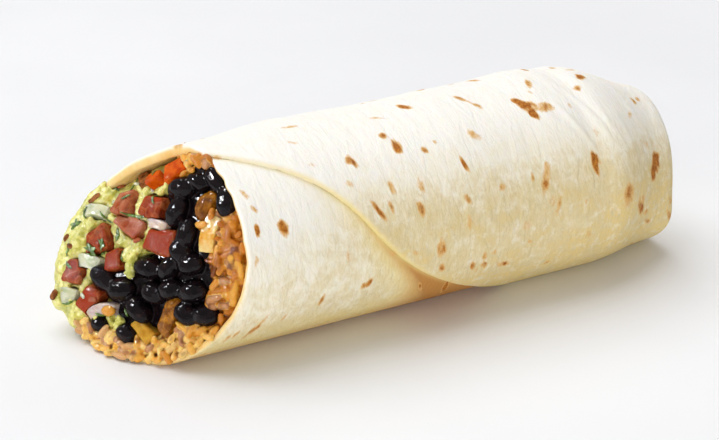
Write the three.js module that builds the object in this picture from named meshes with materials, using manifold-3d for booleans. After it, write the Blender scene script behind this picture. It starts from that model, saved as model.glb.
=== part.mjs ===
// A burrito on its side: a flour tortilla rolled round rice, black beans, guacamole and diced salsa.
// The roll lies along X. Its slanting mouth, at -X, shows the filling; the +X end is folded shut.
// Millimetres, +Z up. The origin is under the middle of the roll, on the surface that it lies on.
import * as THREE from "three";
import { ConvexGeometry } from "three/addons/geometries/ConvexGeometry.js";
import { mergeVertices } from "three/addons/utils/BufferGeometryUtils.js";
import Module from "manifold-3d";

const wasm = await Module();
wasm.setup();

// ---- driving dimensions ----
const BODY_LENGTH = 163.5; // from the near lip of the mouth to the shut end
const MOUTH_SWEEP = 39.7; // how far the far lip reaches beyond the near one
const MOUTH_TURN = 44.4; // degrees up from the near side to the lip's shortest point
const MOUTH_POWER = 1.5; // how scooped the mouth's slant is
const MOUTH_WIDTH = 65; // outside sizes of the under layer, at the mouth
const MOUTH_HEIGHT = 64;
const BELLY_WIDTH = 65.6; // in the middle
const BELLY_HEIGHT = 64.6;
const BELLY_FROM = 9; // it swells from the mouth's size to the belly's between these
const BELLY_TO = 103;
const END_WIDTH = 42; // and at the shut end, which is pinched in from the sides
const END_HEIGHT = 52.4;
const WIDTH_TAPER_AT = 130;
const HEIGHT_TAPER_AT = 128;
const LIP_DENT = 2.8; // how far the far upper lip sinks in
const LIP_DENT_AT = 125; // degrees up from the near side
const LIP_DENT_SPREAD = 34;
const LIP_DENT_FROM = -10; // and it fades out between these, along the roll
const LIP_DENT_TO = 30;
const LIP_NICK = 4; // how far the far lower lip is cut back
const LIP_NICK_AT = 246; // degrees up from the near side
const LIP_NICK_TURN = 16;
const SUNK = 0.07; // share of the half height that the roll's weight presses flat
const END_LIFT = 0.9; // how much higher the shut end's axis lies

const FLAP = 1.7; // thickness of one layer of tortilla, which the seam shows as a step
const WALL = 1.8; // from the under layer's surface in to the filling
const TUCK = 38; // length of the solid wad of tortilla folded into the shut end
const END_CORNER = 5; // radius of the folded end's edge
const END_SPREAD = 3.4; // how far that edge stands out sideways at its near lower corner
const END_SPREAD_AT = -34; // degrees up from the near side
const END_SPREAD_TURN = 20;
const END_SPREAD_FROM = 145; // and it grows between these, along the roll
const END_SPREAD_TO = 162;
const END_DISH = 2.5; // how far the folded end sinks in at its centre
const PLEAT = 0.9; // height of the tucked folds on the end
const PLEATS = 5;
const TUCK_HUMP = 1.5; // swell over the edge of that wad
const TUCK_HUMP_AT = 113;
const TUCK_HUMP_LENGTH = 12;
const CREASE_AT = 125; // and the soft crease behind it
const CREASE_DEPTH = 0.8;
const CREASE_LENGTH = 4;
const CREASE_TURN = 0.6; // radians that the crease leans to the near side
const UNEVEN = 0.2; // slow swells and dips of the whole wrap
// [millimetres for a radian along the roll, waves round it, start]
const SWELLS = [
  [15, 2, 0],
  [21, -3, 1],
  [9, -1, 0],
];

// The outer flap's edge: it runs straight, drops steeply at the front and runs straight again.
const SEAM_START = 79; // degrees up from the near side, at the near lip
const SEAM_SLOPE = 1.13; // degrees for each millimetre along the roll
const SEAM_DROP = 31.5;
const SEAM_DROP_AT = 39.4;
const SEAM_DROP_LENGTH = 6.4;

const GAP = 0.3; // clearance between neighbouring solids
const DICE_EDGE = 0.22; // share of a cube's half side that its broken edges take
const DICE_LEAN = 0.14; // how far out of true a knife leaves its sides, on its face
const DICE_SLANT = [0.1, -0.08]; // and out of its face
const DICE_TAPER = [-0.02, 0.025]; // for each millimetre
const SLICE_TAPER = 0.35; // how much thinner a slice of onion is at its ends
const STRIP_TAPER = 0.25;
const STRIP_BEND = 0.04; // for each millimetre
const SIMPLIFIED = 0.055; // how far a surface may move where needless facets are merged
const FILL_CLEARANCE = 0.6; // clearance of the packed filling inside the wrap
const FILL_RADIUS = MOUTH_WIDTH / 2 - WALL - FILL_CLEARANCE; // at the mouth
const FILL_BULGE = 3.5; // how far its middle swells out of the mouth
const FILL_OVERHANG = 1.9; // how far rice hangs out beyond the far lip
const FLAT_FACE = 0.62; // share of the radius within which the filling doesn't follow the lip

const COLUMNS = 40; // facets round the wrap
const FILL_COLUMNS = 32; // and round the filling
const BODY_ROWS = 24;
const CORNER_ROWS = 4;
const END_ROWS = 4;
const INNER_ROWS = 3;
const FACE_RINGS = 6;
const FILL_ROWS = 4;
const OUTLINE_STEPS = 28;
const ROWS_SPREAD_EVENLY = 0.35; // share of the body's rows; the others gather where the seam drops
const HALVINGS = 40;
const FINE_STEPS = 1000;

// How far the filling lies behind the lip, all round: [degrees up from the near side, millimetres].
const LIP_INSET = [
  [0, 2.5],
  [70, 3],
  [100, 7],
  [125, 9],
  [150, 6],
  [172, -0.5],
  [205, -1],
  [235, -1.4],
  [265, -1],
  [300, 0.2],
  [335, 2],
];

// ---- the salsa ----
// Places are [to the far side, up] from the roll's axis; turn and lean are in degrees.
const TOMATOES = [
  { at: [6, 13.2], size: [8.8, 6.9, 8], turn: 2, lean: 8, proud: 2.6 },
  { at: [17.2, 11.2], size: [8.2, 7.6, 7], turn: 24, lean: 0, proud: 2.4 },
  { at: [11.4, 6.2], size: [11, 5.6, 7], turn: -12, lean: -12, proud: 2.2 },
  { at: [-1.8, 5.2], size: [12.2, 7.6, 8], turn: 4, lean: 6, proud: 3.2 },
  { at: [20, -0.5], size: [9, 7.6, 7], turn: 36, lean: 0, proud: 2.6 },
  { at: [11.6, -4.4], size: [6.4, 6.2, 6], turn: 28, lean: 0, proud: 2.2 },
  { at: [23, -10.6], size: [6.8, 7.4, 7], turn: 8, lean: 0, proud: 2.4 },
  { at: [14.6, -16.8], size: [7, 8.8, 7], turn: -16, lean: 10, proud: 2.4 },
  { at: [17.6, 17.4], size: [7.6, 3.8, 6], turn: -4, lean: 0, proud: 1.6 },
];
const PEPPERS = [
  { at: [5.2, 23.4], size: [7.4, 8.4, 7], turn: -30, lean: 14, proud: 3.4 },
  { at: [11.6, 19.4], size: [4.6, 5.4, 5], turn: -24, lean: 8, proud: 2.4 },
  { at: [-5.8, -20.8], size: [8.4, 4.2, 5], turn: -30, lean: 0, proud: 2.4 },
];
const ONIONS = [
  { at: [25.4, 6.4], size: [8.4, 3.8, 5], turn: 12, bend: 30, proud: 2.2 },
  { at: [1.4, 9.3], size: [7, 2.8, 5], turn: 2, bend: 24, proud: 2.2 },
  { at: [19.4, -6.7], size: [8, 4.2, 5], turn: 4, bend: 34, proud: 2.2 },
  { at: [21.6, -17.6], size: [6, 5, 5], turn: 6, bend: 30, proud: 1.6 },
  { at: [9.4, -18.4], size: [11.2, 3.6, 5], turn: 26, bend: 62, proud: 2.6 },
  { at: [-16.8, 11.6], size: [11.4, 5, 6], turn: 86, bend: 26, proud: 2.6 },
];
// Strips of pepper cooked soft in the sauce, round in section.
const STEWED = [
  { at: [-12, 18.2], size: [6.8, 10, 6.4], turn: -6, lean: 0, proud: 3.2 },
  { at: [-11.8, -14.6], size: [6, 13.6, 6], turn: -12, lean: 0, proud: 3.2 },
];
const CILANTRO = [
  { at: [29.2, 1.6], size: [5, 3.2], turn: 40, lean: 20, proud: 1.9 },
  { at: [16.4, -1.2], size: [4.6, 2.6], turn: -60, lean: 10, proud: 3.2 },
  { at: [19.4, -3.6], size: [6.4, 3.2], turn: -20, lean: 10, proud: 2.9 },
];

// ---- the beans: [to the far side, up, length, turn] ----
const BEAN_THICKNESS = 6;
const BEAN_PROUD = 3.4;
const BEANS = [
  [12.2, -10.2, 9.2, -22],
  [5.4, -11.4, 9.6, 14],
  [-2.6, -15.6, 9, -32],
  [-1, -23.4, 7.2, -28],
  [-1, -3.2, 9.4, 4],
  [-7.7, -1, 8.6, 60],
  [-14, 1.4, 8.8, 10],
  [-16.8, -6, 9.8, 22],
  [-3.4, 14.4, 9.2, 78],
  [-9.4, 9.2, 9.6, 84],
  [-10.4, 25.2, 9.8, -34],
  [-1.6, 20.4, 9.2, 22],
  [-21.6, -11.6, 8.4, 6],
  [-10.2, -7.4, 8.8, 24],
  [-5.4, -9.6, 8, -14],
  [-17.2, 20.6, 9, -72],
  [9.4, -23.4, 6.4, 10],
  [-16.6, -12.4, 8.6, -16],
  [-9.4, 4.4, 8, -50],
  [-4.2, 26.4, 7.6, 10],
];

// ---- where each part of the filling lies ----
// Outlines round points [to the far side, up], which run through the roll.
const BEAN_OUTLINE = [
  [-9, 27],
  [3, 24],
  [4, 14],
  [-1, 4],
  [3, -3],
  [13, -6],
  [17, -12],
  [9, -16],
  [2, -21],
  [-9, -19],
  [-19, -14],
  [-20, -2],
  [-15, 8],
  [-20, 19],
];
const GUACAMOLE_OUTLINE = [
  [5, 26],
  [6, 12],
  [1, 3],
  [5, -2.5],
  [14, -5],
  [19, -12],
  [11, -17],
  [2, -20],
  [4, -23],
  [16, -25],
  [26, -21],
  [38, -6],
  [36, 12],
  [18, 30],
];

// Soft heaps of guacamole that stand out of the filling: [to the far side, up, width, height].
const HEAP_PROUD = 1.8;
const HEAP_DEPTH = 0.77; // share of a heap's mean size that it runs into the food
const GUACAMOLE_HEAPS = [
  [27, 11.4, 8, 7],
  [27.8, -3, 7, 11],
  [27, -10.4, 6, 8],
  [23.2, -19.4, 8, 8],
  [18, -23.8, 9, 6],
  [7.2, -1.4, 6, 9],
  [9.4, -6.6, 8, 6],
  [4.4, -20.6, 5, 5],
  [24, 3.4, 7, 6],
];

// ---- the rice ----
const GRAIN_LENGTH = 6.4;
const GRAIN_THICKNESS = 2.3;
const GRAINS_ON_FACE = 200; // over the whole mouth, of which the rice's share is kept
const GRAINS_ON_LIP = 15;
const GRAIN_LEAN = 25; // degrees either way
const GRAIN_PROUD = [1.2, 2.4];
const GRAIN_SEED = 11;
const LIP_GRAIN_LEAN = 30;
const LIP_GRAIN_PROUD = [2.4, 3.4];
const LIP_GRAIN_REACH = [FILL_RADIUS - 0.6, FILL_RADIUS + 0.8];
const RICE_LIP_FROM = -152; // degrees from the near side: the lip that rice spills over
const RICE_LIP_TURN = 120;

const GOLDEN_ANGLE = Math.PI * (3 - Math.sqrt(5));
const MIDDLE = (BODY_LENGTH - MOUTH_SWEEP - FILL_OVERHANG) / 2;
const { clamp, degToRad: rad, lerp, smoothstep } = THREE.MathUtils;

// ---- the roll's own form ----
// s runs along the roll from the near lip, phi goes up from the near side.
function halfWidth(s) {
  const swell = ((BELLY_WIDTH - MOUTH_WIDTH) / 2) * smoothstep(s, BELLY_FROM, BELLY_TO);
  const taper = ((BELLY_WIDTH - END_WIDTH) / 2) * smoothstep(s, WIDTH_TAPER_AT, BODY_LENGTH);
  return MOUTH_WIDTH / 2 + swell - taper;
}

function halfHeight(s) {
  const swell = ((BELLY_HEIGHT - MOUTH_HEIGHT) / 2) * smoothstep(s, BELLY_FROM, BELLY_TO);
  const taper = ((BELLY_HEIGHT - END_HEIGHT) / 2) * smoothstep(s, HEIGHT_TAPER_AT, BODY_LENGTH);
  return MOUTH_HEIGHT / 2 + swell - taper;
}

function axisHeight(s) {
  return (1 - SUNK) * halfHeight(s) + END_LIFT * smoothstep(s, HEIGHT_TAPER_AT, BODY_LENGTH);
}

function bump(x, at, length) {
  return Math.exp(-(((x - at) / length) ** 2));
}

function lipDent(s, phi) {
  const degrees = THREE.MathUtils.euclideanModulo(THREE.MathUtils.radToDeg(phi), 360);
  const fade = 1 - smoothstep(s, LIP_DENT_FROM, LIP_DENT_TO);
  return LIP_DENT * bump(degrees, LIP_DENT_AT, LIP_DENT_SPREAD) * fade;
}

// How phi differs from a direction given in degrees, from -180 to 180.
function degreesFrom(direction, phi) {
  const degrees = THREE.MathUtils.radToDeg(phi) - direction;
  return THREE.MathUtils.euclideanModulo(degrees + 180, 360) - 180;
}

function endSpread(s, phi) {
  const turn = degreesFrom(END_SPREAD_AT, phi);
  return END_SPREAD * bump(turn, 0, END_SPREAD_TURN) * smoothstep(s, END_SPREAD_FROM, END_SPREAD_TO);
}

function lipNick(phi) {
  return LIP_NICK * bump(degreesFrom(LIP_NICK_AT, phi), 0, LIP_NICK_TURN);
}

// A point of the section at s, which is flat where the roll rests.
// grow moves it out from the under layer's surface, scale shrinks the section.
function sectionPoint(s, phi, grow, scale = 1) {
  const out = grow - lipDent(s, phi);
  const y = -((halfWidth(s) + out) * Math.cos(phi) + endSpread(s, phi)) * scale;
  const z = (halfHeight(s) + out) * Math.sin(phi) * scale;
  return [y, Math.max(z + axisHeight(s), -grow, 0)];
}

function lipAt(phi) {
  const share = (1 - Math.cos(phi - rad(MOUTH_TURN))) / 2;
  return -MOUTH_SWEEP * share ** MOUTH_POWER + lipNick(phi);
}

function seamAngle(s) {
  const drop = SEAM_DROP / (1 + Math.exp(-(s - SEAM_DROP_AT) / SEAM_DROP_LENGTH));
  return rad(SEAM_START - SEAM_SLOPE * s - drop);
}

// Slow unevenness of the wrap, with the swell and crease over the tucked end, kept off the floor.
function relief(s, phi) {
  const waves = SWELLS.map(([length, turns, start]) => Math.sin(s / length + turns * phi + start));
  const swell = UNEVEN * waves.reduce((sum, wave) => sum + wave);
  const onTop = Math.max(Math.sin(phi), 0) ** 2;
  const hump = TUCK_HUMP * bump(s, TUCK_HUMP_AT, TUCK_HUMP_LENGTH) * onTop;
  const overTop = Math.max(Math.sin(phi + CREASE_TURN), 0);
  const crease = CREASE_DEPTH * bump(s, CREASE_AT, CREASE_LENGTH) * overTop;
  const clearOfFloor = smoothstep(Math.sin(phi), -0.9, -0.5);
  return (swell + hump - crease) * clearOfFloor;
}

// ---- mesh helpers ----
// A closed mesh through rows of points, each a ring of the same count, with a point at either end.
function loft(first, rows, last) {
  const points = [first, ...rows.flat(), last];
  const count = rows[0].length;
  const triangles = [];
  for (let i = 0; i < count; i++) {
    const next = (i + 1) % count;
    triangles.push(0, 1 + next, 1 + i);
    for (let r = 0; r < rows.length - 1; r++) {
      const here = 1 + r * count;
      const there = here + count;
      triangles.push(here + i, here + next, there + i);
      triangles.push(here + next, there + next, there + i);
    }
    const end = 1 + (rows.length - 1) * count;
    triangles.push(end + i, end + next, points.length - 1);
  }
  const geometry = new THREE.BufferGeometry().setFromPoints(points);
  geometry.setIndex(triangles);
  return geometry;
}

function bare(geometry) {
  const copy = geometry.clone();
  copy.deleteAttribute("normal");
  copy.deleteAttribute("uv");
  return mergeVertices(copy, 1e-4);
}

// The geometry with its surface moved out by a distance; corner makes up for sharp edges.
function swollen(geometry, distance, corner) {
  const grown = bare(geometry);
  grown.computeVertexNormals();
  const { position, normal } = grown.attributes;
  const point = new THREE.Vector3();
  const out = new THREE.Vector3();
  for (let i = 0; i < position.count; i++) {
    out.fromBufferAttribute(normal, i).multiplyScalar(distance * corner);
    point.fromBufferAttribute(position, i).add(out);
    position.setXYZ(i, point.x, point.y, point.z);
  }
  return grown;
}

function toSolid(geometry) {
  const closed = bare(geometry);
  const vertProperties = new Float32Array(closed.attributes.position.array);
  const triVerts = new Uint32Array(closed.index.array);
  return new wasm.Manifold(new wasm.Mesh({ numProp: 3, vertProperties, triVerts }));
}

function joined(solids) {
  return solids.reduce((sum, solid) => sum.add(solid));
}

// The largest closed body: hollows that the joining sealed are filled and loose scraps are dropped.
function largestBody(solid) {
  const bodies = solid.decompose();
  return bodies.reduce((best, body) => (body.volume() > best.volume() ? body : best));
}

function toGeometry(solid) {
  const { vertProperties, triVerts, numProp } = solid.getMesh();
  const points = new THREE.BufferAttribute(new Float32Array(vertProperties), numProp);
  const geometry = new THREE.BufferGeometry().setAttribute("position", points);
  geometry.setIndex(new THREE.BufferAttribute(new Uint32Array(triVerts), 1));
  geometry.computeVertexNormals();
  return geometry;
}

// ---- the tortilla ----
// Where a row lies along the roll: at the lip for share 0, at the given end for share 1.
function alongRow(share, end, phi) {
  return lipAt(phi) * (1 - share) + end * share;
}

// The angle at which a row meets the seam, found by halving.
function seamStart(share, end) {
  let low = rad(-260);
  let high = rad(110);
  for (let i = 0; i < HALVINGS; i++) {
    const middle = (low + high) / 2;
    if (middle < seamAngle(alongRow(share, end, middle))) low = middle;
    else high = middle;
  }
  return low;
}

// One ring of the wrap, from start down round the roll and back.
// growAt gives its height over the under layer.
function wrapRow(share, end, start, growAt, scale = 1) {
  const row = [];
  for (let i = 0; i < COLUMNS; i++) {
    const turned = i / (COLUMNS - 1);
    const phi = start - 2 * Math.PI * turned;
    const s = alongRow(share, end, phi);
    const [y, z] = sectionPoint(s, phi, growAt(s, phi, turned), scale);
    row.push(new THREE.Vector3(s, y, z));
  }
  return row;
}

// Shares of the body's length for its rows, closer together where the seam drops steeply.
function bodyShares(length) {
  const turnedBy = (s) => (seamAngle(0) - seamAngle(s)) / (seamAngle(0) - seamAngle(length));
  const progress = (s) => lerp(turnedBy(s), s / length, ROWS_SPREAD_EVENLY);
  const shares = [];
  for (let r = 0; r <= BODY_ROWS; r++) {
    let s = 0;
    while (progress(s) < r / BODY_ROWS) s += length / FINE_STEPS;
    shares.push(Math.min(s / length, 1));
  }
  return shares;
}

// The shut end: the tucked folds close over a shallow dish.
function foldedEnd() {
  const start = seamStart(1, BODY_LENGTH);
  const rows = [];
  for (let r = 1; r <= END_ROWS; r++) {
    const scale = 1 - r / (END_ROWS + 1);
    const ring = wrapRow(1, BODY_LENGTH, start, () => -END_CORNER, scale);
    ring.forEach((point, i) => {
      const phi = (i / COLUMNS) * 2 * Math.PI;
      const betweenRimAndCentre = 4 * scale * (1 - scale);
      const pleat = PLEAT * Math.sin(PLEATS * (phi + scale)) * betweenRimAndCentre;
      point.x -= END_DISH * (1 - scale * scale) - pleat;
    });
    rows.push(ring);
  }
  return rows;
}

function tortilla() {
  const cornerStart = BODY_LENGTH - END_CORNER;
  const innerEnd = BODY_LENGTH - TUCK;
  const inside = () => -WALL;
  const outside = (s, phi, turned) => FLAP * turned + relief(s, phi);
  const rows = [];
  for (let r = 0; r <= INNER_ROWS; r++) {
    rows.push(wrapRow(1 - r / INNER_ROWS, innerEnd, seamStart(0, 0), inside));
  }
  for (const share of bodyShares(cornerStart)) {
    rows.push(wrapRow(share, cornerStart, seamStart(share, cornerStart), outside));
  }
  for (let r = 1; r <= CORNER_ROWS; r++) {
    const bend = ((r / CORNER_ROWS) * Math.PI) / 2;
    const shrink = END_CORNER * (1 - Math.cos(bend));
    const end = cornerStart + END_CORNER * Math.sin(bend);
    const rounded = (s, phi, turned) => outside(s, phi, turned) * Math.cos(bend) - shrink;
    rows.push(wrapRow(1, end, seamStart(1, end), rounded));
  }
  rows.push(...foldedEnd());
  const innerCentre = new THREE.Vector3(innerEnd, 0, axisHeight(innerEnd));
  const outerCentre = new THREE.Vector3(BODY_LENGTH - END_DISH, 0, axisHeight(BODY_LENGTH));
  return loft(innerCentre, rows, outerCentre);
}

// ---- the filling ----
function lipInset(degrees) {
  const angle = (degrees + 360) % 360;
  const after = LIP_INSET.findIndex(([at]) => at > angle);
  const to = after < 0 ? [360, LIP_INSET[0][1]] : LIP_INSET[after];
  const from = LIP_INSET.at(after < 0 ? -1 : after - 1);
  return lerp(from[1], to[1], smoothstep(angle, from[0], to[0]));
}

// Where along the roll the filling's surface lies, over a point of the section given from the axis.
function faceDepth(y, z) {
  const turn = rad(MOUTH_TURN);
  const toLip = (-y * Math.cos(turn) + z * Math.sin(turn)) / (MOUTH_WIDTH / 2);
  const share = (1 - clamp(toLip, -1, 1)) / 2;
  const reach = Math.hypot(y, z) / FILL_RADIUS;
  const angle = Math.atan2(z, -y);
  const inset = lipInset(THREE.MathUtils.radToDeg(angle)) + lipNick(angle);
  const edge = inset * smoothstep(reach, FLAT_FACE, 1);
  return -MOUTH_SWEEP * share ** MOUTH_POWER + edge - FILL_BULGE * (1 - Math.min(reach, 1) ** 2);
}

// The packed filling without its front pieces: inset lowers its front, lump makes that uneven.
function packedFilling(inset, lump) {
  const front = (y, z) => {
    const lumps = Math.sin(1.1 * y + 0.6 * z) * Math.sin(0.9 * z - 0.4 * y);
    const folds = Math.sin(0.5 * y - 1.3 * z) / 2;
    return faceDepth(y, z) + inset - lump * (lumps + folds);
  };
  const inWrap = -WALL - FILL_CLEARANCE;
  const end = BODY_LENGTH - TUCK - FILL_CLEARANCE;
  const centreHeight = axisHeight(0);
  const angleOf = (i) => (-i / FILL_COLUMNS) * 2 * Math.PI;
  const rows = [];
  for (let r = 1; r <= FACE_RINGS; r++) {
    const ring = [];
    for (let i = 0; i < FILL_COLUMNS; i++) {
      const [edgeY, edgeZ] = sectionPoint(0, angleOf(i), inWrap);
      const edgeDepth = front(edgeY, edgeZ - centreHeight);
      const [y, z] = sectionPoint(edgeDepth, angleOf(i), inWrap, r / FACE_RINGS);
      ring.push(new THREE.Vector3(front(y, z - centreHeight), y, z));
    }
    rows.push(ring);
  }
  const rim = rows.at(-1);
  for (let r = 1; r <= FILL_ROWS; r++) {
    const ring = rim.map((point, i) => {
      const s = lerp(point.x, end, r / FILL_ROWS);
      const [y, z] = sectionPoint(s, angleOf(i), inWrap);
      return new THREE.Vector3(s, y, z);
    });
    rows.push(ring);
  }
  const frontCentre = new THREE.Vector3(front(0, 0), 0, centreHeight);
  return loft(frontCentre, rows, new THREE.Vector3(end, 0, axisHeight(end)));
}

// A closed smooth outline of the section, as points.
function smoothOutline(outline) {
  const knots = outline.map(([y, z]) => new THREE.Vector3(y, z, 0));
  const curve = new THREE.CatmullRomCurve3(knots, true, "centripetal");
  return curve.getPoints(OUTLINE_STEPS).slice(0, -1);
}

// That outline run through the whole roll.
function throughRoll(outline) {
  const start = -MOUTH_SWEEP * 1.5;
  const depth = BODY_LENGTH - start;
  const shape = new THREE.Shape(smoothOutline(outline));
  const prism = new THREE.ExtrudeGeometry(shape, { depth, bevelEnabled: false });
  const sectionToRoll = new THREE.Matrix4().makeBasis(
    new THREE.Vector3(0, 1, 0),
    new THREE.Vector3(0, 0, 1),
    new THREE.Vector3(1, 0, 0),
  );
  prism.applyMatrix4(sectionToRoll);
  return prism.translate(start, 0, axisHeight(0));
}

function within(points, y, z) {
  let inside = false;
  points.forEach((a, i) => {
    const b = points[(i + 1) % points.length];
    const crosses = a.y > z !== b.y > z && y < ((b.x - a.x) * (z - a.y)) / (b.y - a.y) + a.x;
    if (crosses) inside = !inside;
  });
  return inside;
}

// ---- pieces that stand on the filling's surface ----
// The surface's own frame at a place: across to the near side, up, and out of the mouth.
function surfaceFrame([y, z]) {
  const step = 1;
  const out = new THREE.Vector3(
    -1,
    (faceDepth(y + step, z) - faceDepth(y - step, z)) / (2 * step),
    (faceDepth(y, z + step) - faceDepth(y, z - step)) / (2 * step),
  ).normalize();
  const up = new THREE.Vector3(0, 0, 1).addScaledVector(out, -out.z).normalize();
  const across = new THREE.Vector3().crossVectors(up, out);
  const point = new THREE.Vector3(faceDepth(y, z), y, z + axisHeight(0));
  return { point, frame: new THREE.Matrix4().makeBasis(across, up, out) };
}

// Sets a piece, made round its own centre with +Z out of the food, to stand proud of the surface.
function setOnSurface(geometry, { at, turn = 0, lean = 0, proud }) {
  geometry.computeBoundingBox();
  const { point, frame } = surfaceFrame(at);
  const angles = new THREE.Euler(rad(lean), 0, rad(turn), "ZXY");
  const own = new THREE.Matrix4().makeRotationFromEuler(angles);
  const sink = new THREE.Matrix4().makeTranslation(0, 0, proud - geometry.boundingBox.max.z);
  const toPlace = new THREE.Matrix4().makeTranslation(point);
  return geometry.applyMatrix4(toPlace.multiply(frame).multiply(sink).multiply(own));
}

// A diced cube with its edges broken, its sides out of true as a knife leaves them.
function dice({ size, ...spot }) {
  const half = size.map((side) => side / 2);
  const broken = Math.min(...half) * DICE_EDGE;
  const corners = [];
  for (const signs of [0, 1, 2, 3, 4, 5, 6, 7].map((i) => [i & 1, i & 2, i & 4])) {
    for (let face = 0; face < 3; face++) {
      const reach = half.map((side, axis) => side - (axis === face ? 0 : broken));
      corners.push(new THREE.Vector3(...reach.map((side, axis) => (signs[axis] ? side : -side))));
    }
  }
  const block = bare(new ConvexGeometry(corners));
  const { position } = block.attributes;
  for (let i = 0; i < position.count; i++) {
    const x = position.getX(i);
    const y = position.getY(i);
    const z = position.getZ(i);
    const across = x * (1 + DICE_TAPER[0] * y) + DICE_LEAN * y;
    const up = y * (1 + DICE_TAPER[1] * x);
    position.setXYZ(i, across, up, z + DICE_SLANT[0] * x + DICE_SLANT[1] * y);
  }
  return setOnSurface(block, spot);
}

// A slice of onion: a slab bent round, as its layer was in the bulb.
function slice({ size: [length, height, depth], bend, ...spot }) {
  const slab = bare(new THREE.BoxGeometry(length, height, depth, 6, 1, 1));
  const { position } = slab.attributes;
  const radius = length / rad(bend);
  for (let i = 0; i < position.count; i++) {
    const angle = position.getX(i) / radius;
    const from = radius + position.getY(i);
    const out = position.getZ(i) * (1 - SLICE_TAPER * ((2 * position.getX(i)) / length) ** 2);
    position.setXYZ(i, from * Math.sin(angle), from * Math.cos(angle) - radius, out);
  }
  return setOnSurface(slab, spot);
}

function strip({ size: [width, length, depth], ...spot }) {
  const soft = new THREE.CapsuleGeometry(width / 2, length - width, 3, 8);
  const tapered = bare(soft).scale(1, 1, depth / width);
  const { position } = tapered.attributes;
  for (let i = 0; i < position.count; i++) {
    const y = position.getY(i);
    position.setX(i, position.getX(i) * (1 - (STRIP_TAPER * y) / length) + STRIP_BEND * y * y);
  }
  return setOnSurface(tapered, spot);
}

// A torn leaf: a thin wavy plate with a lobed outline, both faces split alike.
function leaf({ size: [length, width], ...spot }) {
  const lobes = 5;
  const rim = 15;
  const thickness = 0.6;
  const points = [];
  for (const side of [-0.5, 0.5]) {
    points.push(new THREE.Vector3(0, 0, side * thickness));
    for (let i = 0; i < rim; i++) {
      const angle = (i / rim) * 2 * Math.PI;
      const reach = 0.78 + 0.22 * Math.cos(lobes * angle);
      const wave = 0.5 * Math.sin(2 * angle + 1) + side * thickness;
      const x = (length / 2) * reach * Math.cos(angle);
      points.push(new THREE.Vector3(x, (width / 2) * reach * Math.sin(angle), wave));
    }
  }
  const top = rim + 1;
  const triangles = [];
  for (let i = 1; i <= rim; i++) {
    const next = (i % rim) + 1;
    triangles.push(0, next, i);
    triangles.push(top, top + i, top + next);
    triangles.push(i, next, top + next);
    triangles.push(i, top + next, top + i);
  }
  const plate = new THREE.BufferGeometry().setFromPoints(points);
  plate.setIndex(triangles);
  return setOnSurface(plate, spot);
}

function bean([y, z, length, turn]) {
  const ball = new THREE.SphereGeometry(0.5, 6, 5).rotateZ(Math.PI / 2);
  ball.scale(length, BEAN_THICKNESS, BEAN_THICKNESS);
  return setOnSurface(ball, { at: [y, z], turn, proud: BEAN_PROUD });
}

function heap([y, z, width, height]) {
  const depth = (HEAP_DEPTH * (width + height)) / 2;
  const ball = new THREE.SphereGeometry(0.5, 6, 5).scale(width, height, depth);
  return setOnSurface(ball, { at: [y, z], turn: y * z, proud: HEAP_PROUD });
}

function grain(spot) {
  const kernel = new THREE.SphereGeometry(0.5, 5, 4).rotateZ(Math.PI / 2);
  kernel.scale(GRAIN_LENGTH, GRAIN_THICKNESS, GRAIN_THICKNESS);
  return setOnSurface(kernel, spot);
}

// A repeatable random number between 0 and 1, by a small integer hash.
function randomFrom(seed) {
  let state = seed;
  return () => {
    state = (state + 0x6d2b79f5) | 0;
    let mixed = Math.imul(state ^ (state >>> 15), 1 | state);
    mixed = (mixed + Math.imul(mixed ^ (mixed >>> 7), 61 | mixed)) ^ mixed;
    return ((mixed ^ (mixed >>> 14)) >>> 0) / 2 ** 32;
  };
}

// Grains where neither the beans nor the guacamole lie, spread evenly by the golden angle.
function riceGrains() {
  const random = randomFrom(GRAIN_SEED);
  const between = ([low, high]) => lerp(low, high, random());
  const beans = smoothOutline(BEAN_OUTLINE);
  const guacamole = smoothOutline(GUACAMOLE_OUTLINE);
  const grains = [];
  for (let i = 0; i < GRAINS_ON_FACE; i++) {
    const reach = (FILL_RADIUS - 1) * Math.sqrt((i + 0.5) / GRAINS_ON_FACE);
    const y = reach * Math.cos(i * GOLDEN_ANGLE);
    const z = reach * Math.sin(i * GOLDEN_ANGLE);
    const turn = random() * 180;
    const lean = between([-GRAIN_LEAN, GRAIN_LEAN]);
    if (within(beans, y, z) || within(guacamole, y, z)) continue;
    grains.push(grain({ at: [y, z], turn, lean, proud: between(GRAIN_PROUD) }));
  }
  for (let i = 0; i < GRAINS_ON_LIP; i++) {
    const phi = rad(RICE_LIP_FROM + (RICE_LIP_TURN * i) / (GRAINS_ON_LIP - 1));
    const reach = between(LIP_GRAIN_REACH);
    const at = [-reach * Math.cos(phi), reach * Math.sin(phi)];
    const turn = random() * 180;
    const lean = random() * LIP_GRAIN_LEAN;
    grains.push(grain({ at, turn, lean, proud: between(LIP_GRAIN_PROUD) }));
  }
  return grains;
}

// ---- putting it together ----
const burrito = new THREE.Group();
const taken = []; // the room, with its gap, of everything placed so far

function place(name, solid, roomOf, [color, roughness]) {
  const clear = taken.length ? solid.subtract(joined(taken)) : solid;
  const mesh = new THREE.Mesh(
    toGeometry(largestBody(clear.simplify(SIMPLIFIED))),
    new THREE.MeshStandardMaterial({ color, roughness, metalness: 0 }),
  );
  mesh.name = name;
  mesh.position.x = -MIDDLE;
  burrito.add(mesh);
  taken.push(...roomOf);
}

function placePieces(name, list, make, finish) {
  list.forEach((piece, i) => {
    const geometry = make(piece);
    const room = [toSolid(swollen(geometry, GAP, 1.3))];
    place(`${name}_${i + 1}`, toSolid(geometry), room, finish);
  });
}

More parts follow.
